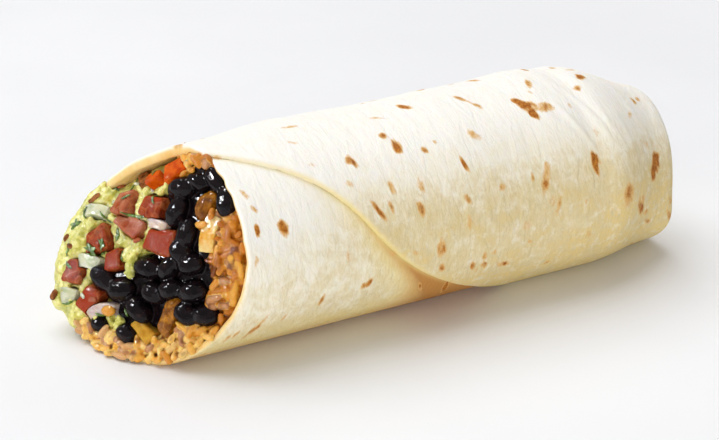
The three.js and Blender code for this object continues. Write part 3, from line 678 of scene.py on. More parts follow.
# Soft folds pulled over the tucked end: along, up, to along, to up, height, width.
FOLDS = [
    (107, 62, 116, 44, 0.25, 1.2), (112, 62, 119, 42, -0.2, 1.0), (116, 60, 124, 30, 0.5, 1.1),
    (122, 76, 131, 34, 0.35, 1.2), (125, 68, 134, 30, -0.28, 1.0), (131, 56, 134, 30, 0.25, 1.2),
    (137, 50, 141, 18, 0.3, 1.4), (144, 72, 150, 36, 0.35, 1.8), (140, 84, 153, 62, 0.4, 2.2),
    (120, 108, 131, 132, 0.5, 1.8), (128, 96, 140, 120, -0.35, 1.6), (133, 140, 150, 150, 0.4, 2.0),
    (118, 168, 139, 176, 0.45, 2.0), (136, 188, 155, 182, 0.4, 2.2), (142, 4, 156, 14, 0.35, 1.8),
    (72, 34, 75, 2, 0.14, 1.0), (84, 44, 86, 8, 0.14, 1.1), (96, 52, 99, 16, 0.16, 1.2),
    (60, 44, 62, 14, 0.12, 0.9),
]

# Blisters browned by the griddle: along, up, size round the roll, size along it, turn, how brown.
SPOTS = [
    (150.9, 15.8, 12.0, 4.6, -25, 1.25), (56.4, 56.5, 5.4, 2.8, 1, 1.25), (122.4, 23.4, 6.8, 3.1, 0, 1.25),
    (12.3, 26.8, 5.0, 3.0, 8, 1.05), (39.5, 54.5, 3.4, 2.0, -30, 0.75), (40.5, 52.5, 4.6, 1.7, 24, 0.9),
    (39.4, -16.7, 4.8, 2.4, -62, 1.05), (43.3, 25.1, 6.8, 1.8, 29, 0.95), (4.1, 28.7, 3.9, 1.9, -5, 1.0),
    (67.8, 83.8, 4.8, 2.8, 50, 1.05), (2.8, -30.1, 10.4, 1.8, -31, 0.75), (64.1, -3.4, 5.8, 2.8, 5, 0.85),
    (87, 80, 4.4, 2.2, 36, 0.8), (90.5, 71, 3.2, 1.5, 30, 0.65), (88.7, 75.5, 8, 0.8, 22, 0.4),
    (57.6, 20.5, 4.6, 2.4, 9, 0.75), (75.8, 37.7, 5.8, 1.6, 15, 1.0), (103.1, 21, 7.6, 3.0, -20, 0.75),
    (104.4, 27, 3.6, 2.4, 0, 0.5), (133.5, 81.5, 4.8, 2.8, -45, 1.05), (133.9, 2.6, 7.4, 4.2, -20, 0.68),
    (151.2, 65, 3.4, 2.2, 20, 0.75), (154.6, 69, 3.0, 2.2, -20, 0.7), (128.2, 71, 3.2, 2.4, -50, 0.95),
    (88.3, -24.8, 4.4, 2.4, 66, 0.95), (47.9, 25.1, 4.2, 1.8, 14, 0.75), (112.5, 79.9, 4.2, 2.6, -16, 0.85),
    (70.4, -38.1, 9.0, 1.9, 10, 1.1), (60, -31, 7, 1.0, 24, 0.75), (59.3, 32.3, 4.6, 2.6, 3, 0.42),
    (74.3, 19.8, 3.6, 2.0, 32, 0.78), (141.3, -7.3, 7.0, 3.6, 30, 0.78), (142.5, -2.5, 3.4, 2.0, 10, 0.7),
    (82.8, 52.2, 5.0, 2.6, 41, 0.5), (64.7, 50.5, 2.6, 1.9, 55, 0.95), (64.8, -15.5, 3.6, 2.1, 25, 0.8),
    (49.6, 34.6, 4.0, 2.0, 12, 0.45), (24, -20.2, 4.3, 1.4, -14, 0.75), (54.2, 64.9, 2.4, 2.2, -36, 0.8),
    (106.9, 5.2, 6.0, 1.5, -18, 0.5), (2, 12.9, 3.4, 1.5, -17, 0.42), (54.9, -2.9, 2.8, 2.0, 30, 0.42),
    (47.2, -0.8, 4.2, 1.8, 50, 0.35), (87.2, 21.9, 3.0, 2.4, 75, 0.45), (29.4, 88.5, 6.0, 1.6, 78, 0.55),
    (3.8, 48.9, 4.0, 1.5, 20, 0.4), (76.6, -20.3, 3.6, 1.8, 16, 0.8), (80.4, -15, 3.6, 1.9, 10, 0.8),
    (80.8, -21, 3.2, 2.4, 30, 0.95), (78.2, -24, 2.2, 1.5, 0, 0.75), (83.4, -13.5, 2.2, 2.0, 0, 0.6),
    (56.4, 79.8, 4.6, 1.3, 66, 0.5), (36.6, 41.1, 2.9, 1.8, 40, 0.4), (98.3, 23.7, 3.3, 1.3, -9, 0.6),
    (73.9, 7.4, 4.4, 1.8, 0, 0.42), (104.6, 9, 4.2, 2.4, -20, 0.28), (106.6, -32.9, 3.6, 1.4, -60, 0.55),
    (134.2, 92.7, 6.0, 1.6, -70, 0.5), (1.5, 76.7, 4.6, 1.0, 62, 0.4), (-3.3, -32.1, 4.0, 1.5, -26, 0.7),
    (159.9, -24.8, 7.0, 2.2, 27, 0.6), (160.4, -13.5, 5.5, 2.6, 27, 0.5), (11.8, -26.8, 4.4, 1.2, -24, 0.5),
    (96.9, -12.4, 2.4, 1.4, 60, 0.5), (144.4, 51.3, 3.6, 1.8, -40, 0.35), (148.8, -22.9, 5.0, 1.8, 52, 0.55),
    (146, -14, 3.4, 2.6, 10, 0.45), (69.2, 53.7, 2.0, 1.4, 40, 0.45), (27.5, 56, 3.2, 1.5, 60, 0.25),
    (25.5, 73.5, 3.4, 1.2, 60, 0.45), (4.8, 40.1, 3.0, 1.5, 30, 0.4), (-2, 22, 2.6, 1.2, 0, 0.3),
    (-6, -34, 4.2, 1.3, -28, 0.5), (-11, -52, 4.4, 2.2, 22, 0.5), (126, 40, 2.6, 1.3, 0, 0.35),
    (121, 59, 2.4, 1.2, 0, 0.3), (117, 5, 2.6, 1.3, -14, 0.3), (148, 30, 2.8, 2, 0, 0.3),
    (110, 73, 3.0, 1.0, 40, 0.2), (119, -16, 3.2, 2.4, 0, 0.22), (95, -2, 4.4, 3.0, 0, 0.22),
    (32, 4, 3.2, 2.0, 20, 0.2),
    # the large torn blister on top of the tucked end
    (103.9, 68.3, 2.2, 3.4, -30, 1.1), (105.2, 63.6, 5.4, 3.4, 16, 1.3), (106.4, 57.4, 4.6, 2.6, 20, 1.4),
    (107.6, 62.6, 4.4, 4.2, 0, 0.95), (111.4, 60.6, 3.6, 4.6, 10, 0.66), (113.6, 60.0, 2.4, 2.6, 0, 0.55),
    # the rim at the top
    (-4.2, 104, 6.0, 2.6, 0, 0.42), (-15, 128, 3.0, 1.4, 0, 0.3),
]
HIDDEN_SPOTS = 64


def hidden_spots():
    """Spots like those above, over the far side, the underside and the shut end's sides."""
    spots = []
    for _ in range(HIDDEN_SPOTS):
        up = RNG.uniform(100, 315)
        along = RNG.uniform(float(lip_at(math.radians(up))) + 7, 158)
        sizes = RNG.uniform(1.6, 5.6), RNG.uniform(1.3, 3.4)
        spots.append((along, up, *sizes, RNG.uniform(-30, 30), RNG.uniform(0.3, 1.15)))
    return spots


def over_wrap(s, phi, at, up):
    """Steps from a place on the wrap: along it and round it, in millimetres."""
    return s - at, np.radians(degrees_from(up, phi)) * WRAP_RADIUS


def browned(s, phi):
    field = np.full(s.shape, UNTOASTED)
    ragged = 0.42 * rough(unrolled(s, phi), np.array([1.3, 2.2, 1]), 2, 5)
    for at, up, tall, wide, turn, brown in SPOTS + hidden_spots():
        along, over = over_wrap(s, phi, at, up)
        near = (np.abs(along) < SPOT_REACH) & (np.abs(over) < SPOT_REACH)
        c, k = math.cos(math.radians(turn)), math.sin(math.radians(turn))
        u, v = along[near] * c + over[near] * k, over[near] * c - along[near] * k
        reach = np.sqrt((2 * u / wide) ** 2 + (2 * v / tall) ** 2)
        spot = brown * (np.minimum(1.3 * (1.2 - reach), 0.85) + ragged[near])
        field[near] = np.maximum(field[near], spot)
    return field


def folded(s, phi):
    height = np.zeros_like(s)
    for at, up, to_at, to_up, tall, wide in FOLDS:
        along, over = over_wrap(s, phi, at, up)
        run = np.array([to_at - at, math.radians(to_up - up) * WRAP_RADIUS])
        share = np.clip((along * run[0] + over * run[1]) / (run @ run), 0, 1)
        away = np.hypot(along - share * run[0], over - share * run[1])
        height += tall * bump(away, 0, wide) * np.sin(np.pi * np.clip(share * 0.84 + 0.08, 0, 1)) ** 0.7
    return height


def outside(s, phi):
    """How far the wrap's outer surface lies out from the under layer's."""
    wrap = unrolled(s, phi)
    soft = 0.16 * rough(wrap, np.array([9, 14, 1]), 3, 3) + 0.05 * noise(wrap, np.array([1.9, 11, 1]), 9)
    thick = np.sqrt(1 - (1 - np.minimum(FROM_EDGE / EDGE_ROUND, 1)) ** 2)
    ripple = soft * smoothstep(np.sin(phi), -0.95, -0.6)
    return FLAP * TURNED * thick + relief(s, phi) + folded(s, phi) + ripple


def torn(phi):
    """How far the lip's edge is drawn back."""
    turn = np.degrees(phi) % 360
    pressed = smoothstep(turn, 138, 156) * (1 - smoothstep(turn, 236, 250))
    return 0.35 * noise(np.stack([phi * WRAP_RADIUS, phi * 0, phi * 0], -1), 3.5, 21) + 1.5 * pressed


def seam_start(share, end):
    """Where the seam runs, at shares of the way from the lip to an end: found by halving."""
    low, high = np.full(np.shape(share), math.radians(-260)), np.full(np.shape(share), math.radians(110))
    for _ in range(40):
        middle = (low + high) / 2
        below = middle < seam_angle(lip_at(middle) * (1 - share) + end * share)
        low, high = np.where(below, middle, low), np.where(below, high, middle)
    return low


def wrap_rows():
    """The rows of points, from deep inside over the lip to the middle of the shut end: along, across, up, their
    direction, and 1 on the inner side."""
    rows = []

    def add(share, end, outer, inset, start=None, setback=0.0, tear=0.0, scale=1.0, inner=0.0):
        share = np.asarray(share, float)
        start = seam_start(share, end) if start is None else start
        share = share[:, None]
        phi = start[:, None] - 2 * math.pi * TURNED + 0 * share
        s = lip_at(phi) * (1 - share) + end * share
        grow = outer * outside(s, phi) - inset
        s = s + setback + tear * torn(phi)
        rows.append((s, *section_point(s, phi, grow, scale), phi, np.full(s.shape, inner)))

    add(np.linspace(1, 0.02, INNER_ROWS), INNER_END, 0, WALL, start=seam_start(np.zeros(1), 0), inner=1.0)
    for bend in RIM_BENDS:
        outer = (1 + math.sin(bend)) / 2
        inner = 1 - float(smoothstep(math.sin(bend), 0.1, 1.0))
        add([0.0], 0, outer, WALL * (1 - outer), None, RIM_ROUND * (1 - math.cos(bend)), 1.0, inner=inner)
    corner = BODY_LENGTH - END_CORNER
    shares = RIM_ROUND / corner + (1 - RIM_ROUND / corner) * np.linspace(0, 1, BODY_ROWS) ** 1.04
    add(shares, corner, 1, 0, tear=np.exp(-shares * corner / 3)[:, None])
    for bend in CORNER_BENDS:
        add([1.0], corner + END_CORNER * math.sin(bend), math.cos(bend), END_CORNER * (1 - math.cos(bend)))
    for scale in CLOSING:
        add([1.0], BODY_LENGTH, 0, END_CORNER, scale=scale)
        pleat = blunted(np.sin(PLEATS * (TURNED * 2 * math.pi + scale * 1.2)), 0.6)
        s = rows[-1][0] - END_DISH * (1 - scale**2) + PLEAT * pleat * 4 * scale * (1 - scale)
        rows[-1] = (np.minimum(s, BODY_LENGTH), *rows[-1][1:])
    return [np.concatenate(values) for values in zip(*rows)]


def with_ends(values, near=0.0, far=None):
    """The rows' values, with those of the middle points at both ends."""
    return np.concatenate([[near], values.ravel(), [values[-1].mean() if far is None else far]])


def wrap_attributes(s, z, phi, inner):
    """What the wrap's look goes by, for each point."""
    steep = np.sin(phi)
    seam_gap = (seam_angle(s) - phi) * WRAP_RADIUS  # how far below the flap's edge the under layer lies
    under = np.where((TURNED < 0.5) & (seam_gap > 0), 1.0, 0.0) * smoothstep(np.cos(phi), -0.3, 0.12)
    # Painted warm light and shade: shadow on the under layer just below the flap's edge, deeper low on the side
    # towards the tucked end; yellow bounce light from the floor low by the mouth; shade along the bottom by the
    # floor and on the underside.
    by_seam = under * np.exp(-np.maximum(seam_gap, 0) / 7.0) * smoothstep(s, 12, 56)
    tucked = under * smoothstep(s, 44, 72) * smoothstep(-steep, -0.2, 0.5) * (1 - 0.7 * smoothstep(s, 88, 126))
    by_floor = under * (1 - smoothstep(z, 2, 17)) * (1 - smoothstep(s, 44, 72))
    low = 1 - smoothstep(z + 0.8 * noise(unrolled(s, phi), 7.0, 77), 0.4, 3.4)
    painted_bounce_and_shade = 0.95 * by_seam + 0.8 * tucked + 0.5 * by_floor + 0.1 * smoothstep(-steep, 0.3, 0.95) + 0.2 * low

    # The band: the flap's rounded edge tinted yellow, and a painted shadow on the under layer just below that
    # edge.
    broad = 0.6 + 0.9 * smoothstep(s, 4, 44)
    edge_band_and_shade = bump(FROM_EDGE, 0, broad) * (0.45 + 0.4 * smoothstep(s, 5, 40)) * (1 - smoothstep(s, 56, 80))
    edge_band_and_shade = np.maximum(edge_band_and_shade, 0.5 * under * bump(seam_gap, 0, 1.2) * (1 - smoothstep(s, 62, 84)))

    # Painted light and shade, 0 where lit: shaded low on the sides, towards the shut end and by the seam; lighter
    # on top, near the mouth and on the under layer near the mouth.
    painted_light_by_mouth = (1 - smoothstep(s - lip_at(phi), 0, 46)) * smoothstep(steep, -0.5, 0.5)
    by_end = 0.08 * smoothstep(s, 130, 160) + 0.30 * smoothstep(s, 96, 140) * smoothstep(-steep, -0.45, 0.3)
    painted_shade = 0.74 * (1 - smoothstep(steep, 0.1, 0.92)) + 0.48 * smoothstep(-steep, 0.2, 0.85)
    painted_shade = painted_shade * (1 - 0.40 * under * (1 - smoothstep(s, 60, 110)))
    painted_shade = np.clip(painted_shade - 0.30 * painted_light_by_mouth + by_end + 0.3 * by_seam, 0, 1)

    kept = np.ones((len(s), 1))  # what is left of the marks, towards the middle of the shut end
    kept[-len(CLOSING):, 0] = CLOSING**1.4
    cap = smoothstep(s, BODY_LENGTH - 0.6 * END_CORNER, BODY_LENGTH)
    cap[-len(CLOSING):] = 1
    far_side = smoothstep(np.degrees(phi) % 360, 84, 108)
    values = {
        "painted_bounce_and_shade": 0.12 + (np.clip(painted_bounce_and_shade, 0, 1) - 0.12) * kept**2,
        "painted_shade": 0.4 + (painted_shade - 0.4) * kept,
        "edge_band_and_shade": edge_band_and_shade,
        "inside": np.maximum(inner * far_side, 2 * inner - 1),
        "cap": cap,
        "along": s,
        "round": phi * WRAP_RADIUS,
    }
    toast = browned(s, phi) * kept + UNTOASTED * (1 - kept)
    return {"toast": with_ends(toast, UNTOASTED, UNTOASTED)} | {key: with_ends(v) for key, v in values.items()}


def tortilla_piece():
    s, y, z, phi, inner = wrap_rows()
    near, far = (INNER_END, 0, axis_height(INNER_END)), (BODY_LENGTH - END_DISH, 0, axis_height(BODY_LENGTH))
    points = np.concatenate([[near], np.stack([s, y, z], -1).reshape(-1, 3), [far]])
    faces = ring_faces(*s.shape, clockwise=True)
    return new_object("tortilla_wrap", points, faces, wrap_attributes(s, z, phi, inner))


tortilla = show(tortilla_piece(), tortilla_look(), "tortilla", "tortilla")

# ---- the diced salsa ----
HIDDEN_SIDE = (0.8, 0.4, 0.4)
# For each tomato piece, the side that its skin is on, and how pale it is.
TOMATOES = [
    ((-0.3, -0.2, 0.9), 0.08), (HIDDEN_SIDE, 0.6), (HIDDEN_SIDE, 0.7), ((-0.6, 0, 0.7), 0.08),
    ((0, 1, 0.2), 0.08), ((-1, 0.1, 0), 0.08), ((-0.2, 0.9, -0.3), 0.3), ((-1, -0.3, 0.1), 0.08),
    (HIDDEN_SIDE, 0.08),
]
solid_pieces = []


def tomato_marks(points, out, i):
    towards, pale = TOMATOES[i - 1]
    return {
        "skin": smoothstep(out @ unit(np.array(towards, float)), 0.72, 0.9),
        "pale": pale * smoothstep(noise(points, 2.8, 9), -0.5, 0.6),
    }


def chunks(kind, materials, voxel, passes, ripple, seed):
    """The pieces of a kind as the CAD has them, with softened edges and rough faces."""
    for i, material in enumerate(materials, 1):
        node = f"{kind}_{i}"
        points, faces = refined(node, voxel, passes)
        out = normals_of(points, faces)
        points = points + out * (ripple * rough(points, 2.2, 3, seed + i))[:, None]
        solid_pieces.append((points, faces))
        marks = tomato_marks(points, out, i) if kind == "tomato" else None
        show(new_object(node + "_piece", points, faces, marks), material, kind, node)


tomato, cooked, stewed = tomato_look(), cooked_look(), stewed_look()
red = pepper_look("pepper", (0.46, 0.042, 0.002), (0.62, 0.100, 0.003))
yellow = pepper_look("pepper_yellow", (0.46, 0.20, 0.015), (0.60, 0.33, 0.04))
white = onion_look("onion", (0.74, 0.75, 0.62), (0.50, 0.56, 0.33), (0.68, 0.69, 0.45))
lilac = onion_look("onion_lilac", (0.70, 0.60, 0.57), (0.54, 0.37, 0.38), (0.70, 0.56, 0.38))
golden = onion_look("onion_golden", (0.88, 0.50, 0.075), (0.78, 0.31, 0.015), (0.90, 0.68, 0.28))
chunks("tomato", [tomato] * 8 + [cooked], voxel=0.3, passes=2, ripple=0.16, seed=40)
chunks("pepper", [red, red, yellow], voxel=0.28, passes=2, ripple=0.07, seed=60)
chunks("onion", [white, lilac, white, white, lilac, golden], voxel=0.26, passes=3, ripple=0.12, seed=70)
chunks("stewed_pepper", [stewed, stewed], voxel=0.3, passes=4, ripple=0.3, seed=80)

# ---- the leaves ----
LEAF_THICKNESS, LEAF_RINGS, LEAF_RIM, LEAF_SUNK = 0.18, 6, 60, 0.8
# Across, up, length, width, turn, lean, how far out.
CILANTRO = [
    (29.2, 1.6, 5, 3.2, 40, 20, 1.9), (16.4, -1.2, 4.6, 2.6, -60, 10, 3.2),
    (19.4, -3.6, 6.4, 3.2, -20, 10, 2.9),
]


def leaf_parts(length, width):
    """A frilled leaf with waves in it: its top from the middle out, then its underside back to the middle."""
    angle = np.arange(LEAF_RIM) / LEAF_RIM * 2 * math.pi
    share = np.arange(1, LEAF_RINGS + 1) / LEAF_RINGS
    share = np.concatenate([share, share[::-1]])[:, None]
    side = np.repeat([LEAF_THICKNESS / 2, -LEAF_THICKNESS / 2], LEAF_RINGS)[:, None]
    reach = (0.78 + 0.22 * np.cos(5 * angle) - 0.05 * np.abs(np.sin(15 * angle))) * share
    wave = 0.5 * np.sin(2 * angle + 1) * share**2 + 0.12 * np.sin(9 * angle) * share**2 + side
    rings = np.stack([length / 2 * reach * np.cos(angle), width / 2 * reach * np.sin(angle), wave], -1)
    points = np.concatenate([[(0, 0, side[0, 0])], rings.reshape(-1, 3), [(0, 0, side[-1, 0])]])
    return points, ring_faces(2 * LEAF_RINGS, LEAF_RIM)


leaf_material = leaf_look()
for i, (y, z, length, width, turn, lean, proud) in enumerate(CILANTRO, 1):
    points, faces = leaf_parts(length, width)
    placed = laid(points, *surface_frame(y, z), turn, proud - LEAF_SUNK, lean)
    show(new_object(f"cilantro_leaf_{i}", placed, faces), leaf_material, "cilantro", f"cilantro_{i}")

# ---- the beans ----
BEAN_THICKNESS, BEAN_PROUD = 6.5, 3.6
# Across, up, length, turn.
BEANS = [
    (12.2, -10.2, 9.2, -22), (5.4, -11.4, 9.6, 14), (-2.6, -15.6, 9, -32), (-1, -23.4, 7.2, -28),
    (-1, -3.2, 9.4, 4), (-7.7, -1, 8.6, 60), (-14, 1.4, 8.8, 10), (-16.8, -6, 9.8, 22), (-3.4, 14.4, 9.2, 78),
    (-9.4, 9.2, 9.6, 84), (-10.4, 25.2, 9.8, -34), (-1.6, 20.0, 9.2, 22), (-21.6, -11.6, 8.4, 6),
    (-10.2, -7.4, 8.8, 24), (-5.4, -9.6, 8, -14), (-17.2, 20.6, 9, -72), (9.4, -23.4, 6.4, 10),
    (-16.6, -12.4, 8.6, -16), (-9.4, 4.4, 8, -50), (-5.4, 23.0, 8.4, 4),
]


def bean_parts(n, length):
    points, faces = ball(32, 26)
    x, y, z = points.T
    bowed = y + 0.16 * bump(x, 0, 0.34) * np.maximum(-y, 0) + 0.09 * (1 - x * x)
    sizes = np.array([length, BEAN_THICKNESS * 0.97, BEAN_THICKNESS]) / 2
    shaped = np.stack([blunted(x, 0.86), bowed, z], -1) * sizes
    swell = 0.22 * noise(shaped + 31 * n, 3.2, n) + 0.10 * noise(shaped + 31 * n, 1.3, n + 5)
    return shaped * (1 + (swell / 4)[:, None]), faces


def beans_piece():
    """The beans, with their dark broth between them that comes up in pools."""
    parts = []
    for n, (y, z, length, turn) in enumerate(BEANS):
        points, faces = bean_parts(n, length)
        parts.append((laid(points, *surface_frame(y, z), turn, BEAN_PROUD - BEAN_THICKNESS / 2), faces))
    points, faces, *rest = refined("black_beans", voxel=0.5, passes=3, cut=8)
    pools = 0.55 + 0.5 * noise(points, 5.0, 88)
    parts.append((points + normals_of(points, faces) * pools[:, None], faces))
    return merged([fused(parts, voxel=0.36, passes=2), rest])


bean_surface = beans_piece()[:2]
show(new_object("black_beans_heap", *bean_surface), bean_look(), "black_beans", "black_beans")

# ---- the guacamole ----
DABS, DABS_FROM, DABS_TO = 58, 153, 244
DAB_ROWS = [(31.35, 0.95), (29.4, 1.7), (27.6, 2.6)]  # how far out from the axis, and how deep in the mouth
# Smears over the edges of what lies beside the mash: across, up, size, how far out.
SMEARS = [
    (10.2, -21.6, 1.5, 2.9), (9.8, -22.8, 1.5, 3.0), (9.4, -24.0, 1.4, 3.0), (5.6, 1.6, 2.0, 2.6),
    (5.2, -0.4, 2.0, 2.8), (5.0, -2.4, 2.0, 3.0), (4.6, -4.4, 2.0, 3.1), (4.2, -6.0, 1.7, 3.0),
    (2.0, -20.0, 1.6, 3.0), (2.4, -21.6, 1.6, 2.9),
]


def over_lip():
    """Dabs that cover the far lip, where the guacamole has been squeezed out over it."""
    points, faces = ball(14, 10)
    parts = []
    for n, turn in enumerate(np.linspace(DABS_FROM, DABS_TO, DABS)):
        phi = math.radians(turn)
        size = (1.25 + 0.22 * float(noise([n * 0.9, 0.0, 0.0], 2.3, 61))) * (0.6 + 0.4 * min(n / 6, 1))
        for reach, deep in DAB_ROWS:
            y, z = -reach * math.cos(phi), reach * math.sin(phi) + float(axis_height(0.0))
            at = float(lip_at(phi)) + deep + 0.15 * (n % 2)
            parts.append((points * size * [1.0, 1.2, 1.2] + [at, y, max(z, size + 0.7)], faces))
    return parts


def smears():
    points, faces = ball(14, 10)
    parts = []
    for y, z, size, proud in SMEARS:
        at, axes = surface_frame(y, z)
        parts.append((points * size + at + axes[:, 2] * (proud - size), faces))
    return parts


def guacamole_piece():
    points, faces, *rest = refined("guacamole", voxel=0.5, passes=2, cut=4)
    points, faces = fused([(points, faces), *over_lip(), *smears()], voxel=0.42, passes=2)
    lumps = 0.7 * rough(points, 3.2, 2, 3) + 0.45 * np.abs(rough(points, 1.5, 3, 8))
    lumps = lumps + 0.12 * noise(points, 0.8, 4)
    by_rim = smoothstep(np.hypot(points[:, 1], points[:, 2] - axis_height(0.0)), FILL_RADIUS - 4, FILL_RADIUS)
    points = points + normals_of(points, faces) * ((lumps - 0.1) * (1 - 0.75 * by_rim))[:, None]
    points, faces, _ = merged([(points, faces), rest])
    points[:, 2] = np.maximum(points[:, 2], 0.4)
    return points, faces


guacamole_surface = guacamole_piece()
show(new_object("guacamole_mash", *guacamole_surface), guacamole_look(), "guacamole", "guacamole")

# ---- the rice ----
GRAIN_LENGTH, GRAIN_THICKNESS = 5.1, 2.4
GRAINS_ON_LIP = 24
# Grains on the filling's face, and below them: how many, how far out, from and to, and the spiral's first turn.
SPIRALS = [(300, 1.2, 2.4, 0.0), (500, 0.1, 1.7, 2.1)]
GOLDEN_TURN = math.pi * (3 - math.sqrt(5))
STRAY = 2.6  # a grain pushed further than this from its place is left out
BROWN_SHADE, BROWN_SHARE = 0.96, 0.07
MOUTH_ENDS = 14  # how far along the roll the tortilla can touch the grains
RICE_OUTLINES = [
    [
        (-12.5, 15.5), (-16.5, 7.2), (-20, 4), (-22.5, 3), (-22.8, -1.8), (-20.8, -6), (-24.2, -9.5),
        (-25.5, -12.2), (-23.5, -14), (-16.8, -13.8), (-15.8, -17), (-11, -21.2), (-5.5, -23.5), (4.5, -23),
        (14.2, -22.4), (18, -27), (12, -31), (3.5, -34), (-14, -33), (-34, -14), (-35, 10), (-24, 20),
        (-17, 19),
    ],
    [(3.8, 23.5), (10, 26), (8, 32), (-6, 34), (-9.5, 31), (-9.5, 26.6), (-8, 25.5), (-3, 23.5)],
]
# Larger cooked pieces among the grains: across, up, length, width, turn, shade, how far out.
LUMPS = [
    (-25.2, 6.2, 10.5, 6.2, 78, 0.42, 2.6), (-19.4, 17.2, 5.0, 4.2, 10, 0.97, 2.4),
    (-20.8, 14.6, 5.2, 3.8, -20, 0.9, 2.2), (-22.8, -8.2, 5.4, 4.2, 20, 0.3, 2.4),
    (-19.2, -15.4, 5.4, 4.2, 15, 1.0, 2.6), (-18.2, -19.6, 7.0, 5.0, 60, 0.35, 2.0),
    (6.2, -18.0, 5.6, 3.4, 15, 0.45, 3.4), (-2.8, 27.0, 6.0, 4.4, 30, 0.9, 1.6),
    (-27.0, -4.4, 5.0, 4.0, 40, 0.5, 2.2), (2.8, -25.4, 8.0, 3.6, -8, 0.7, 2.0),
    (-7.0, -25.8, 7.0, 3.8, 12, 0.62, 2.0), (5.4, 27.2, 4.6, 3.2, 40, 0.96, 4.0),
    (2.2, 28.2, 5.2, 3.4, -14, 0.97, 4.2), (4.4, 26.6, 6.0, 4.6, 10, 0.25, 2.6),
    (0.0, 27.0, 6.0, 4.8, 0, 0.2, 2.8), (-4.6, 27.6, 6.0, 4.6, 0, 0.25, 3.0),
    (-8.2, 27.2, 5.0, 4.0, -10, 0.1, 3.4), (-2.4, 28.2, 5.0, 3.8, 0, 0.93, 4.6),
    (-6.2, 28.6, 5.0, 3.6, -10, 0.15, 4.8), (1.6, 26.8, 4.6, 3.6, 20, 0.25, 4.6),
    (-3.8, 26.8, 4.6, 3.4, 30, 0.1, 5.2), (-0.6, 26.6, 4.4, 3.4, -30, 0.93, 5.0),
]
# Grains of the clump in the mouth's top corner: across, up, turn, how far out.
CORNER_GRAINS = [
    (8.2, 27.6, 70, 3.4), (6.6, 25.4, 10, 3.6), (3.4, 25.4, -30, 4.4), (0.4, 29.8, 12, 4.6),
    (-0.6, 26.0, 30, 4.6), (-1.8, 28.4, 80, 5.0), (-3.4, 29.8, -6, 4.4), (-4.2, 26.6, -20, 4.8),
    (-5.6, 28.6, 40, 5.0), (-7.4, 30.0, -4, 4.0), (-7.8, 27.4, -50, 4.8), (-1.6, 24.6, 0, 3.4),
    (3.6, 29.6, 20, 3.8),
]


def within(outline, y, z):
    inside = False
    for (ay, az), (by, bz) in zip(outline, outline[1:] + outline[:1]):
        if (az > z) != (bz > z) and y < (by - ay) * (z - az) / (bz - az) + ay:
            inside = not inside
    return inside


def among_rice(y, z):
    return any(within(outline, y, z) for outline in RICE_OUTLINES)


def grain_places():
    """Each grain's centre, direction and half length, before they settle."""
    places = []

    def add(y, z, turn, lean, proud):
        at, axes = surface_frame(y, z)
        half = GRAIN_LENGTH * RNG.uniform(0.6, 1.06) / 2
        line = axes @ turned_by(turn, lean, "Y")[:, 0]
        places.append((at + axes[:, 2] * (proud - GRAIN_THICKNESS / 2), line, half))

    for count, low, high, start in SPIRALS:
        for i in range(count):
            reach, around = (FILL_RADIUS - 1) * math.sqrt((i + 0.5) / count), i * GOLDEN_TURN + start
            y, z = reach * math.cos(around), reach * math.sin(around)
            turn, lean, proud = RNG.uniform(0, 180), RNG.uniform(-25, 25), RNG.uniform(low, high)
            if among_rice(y, z):
                add(y, z, turn, lean, proud)
    for i in range(GRAINS_ON_LIP):
        phi = math.radians(-143 + 111 * i / (GRAINS_ON_LIP - 1))
        reach = FILL_RADIUS + RNG.uniform(-0.6, 0.8)
        turn, lean, proud = RNG.uniform(0, 180), RNG.uniform(-15, 25), RNG.uniform(2.0, 3.2)
        add(-reach * math.cos(phi), reach * math.sin(phi), turn, lean, proud)
    for y, z, turn, proud in CORNER_GRAINS:
        add(y, z, turn, 0, proud)
    return places


def closest_on_pairs(a0, a1, b0, b1):
    """Shares along each of two segments of their closest points, for arrays of pairs."""
    d1, d2, r = a1 - a0, b1 - b0, a0 - b0
    a, e, f = (d1 * d1).sum(1), (d2 * d2).sum(1), (d2 * r).sum(1)
    b, c = (d1 * d2).sum(1), (d1 * r).sum(1)
    s = np.clip((b * f - c * e) / np.maximum(a * e - b * b, 1e-9), 0, 1)
    t = np.clip((b * s + f) / e, 0, 1)
    return np.clip((b * t - c) / a, 0, 1), t


SETTLING_ROUNDS, OBSTACLES_EVERY = 36, 3
GRAIN_PUSH, OBSTACLE_PUSH, PULL_BACK = 0.28, 0.9, 0.03
ROD_RADIUS = GRAIN_THICKNESS / 2 * 0.94
GRAIN_GAP, OBSTACLE_GAP = 2 * ROD_RADIUS * 0.9, ROD_RADIUS * 0.8


def push_grains_apart(ends, pairs):
    middle = (ends[0] + ends[1]) / 2
    near = np.linalg.norm(middle[pairs[0]] - middle[pairs[1]], axis=1) < GRAIN_LENGTH * 1.15
    i, j = pairs[0][near], pairs[1][near]
    s, t = closest_on_pairs(ends[0][i], ends[1][i], ends[0][j], ends[1][j])
    on_i = ends[0][i] + (ends[1][i] - ends[0][i]) * s[:, None]
    on_j = ends[0][j] + (ends[1][j] - ends[0][j]) * t[:, None]
    far = np.linalg.norm(on_i - on_j, axis=1)
    depth = np.maximum(GRAIN_GAP - far, 0) * GRAIN_PUSH
    push = (on_i - on_j) / np.maximum(far, 1e-6)[:, None] * depth[:, None]
    for grains, share, way in ((i, s, 1), (j, t, -1)):
        np.add.at(ends[0], grains, way * push * (1 - share)[:, None])
        np.add.at(ends[1], grains, way * push * share[:, None])


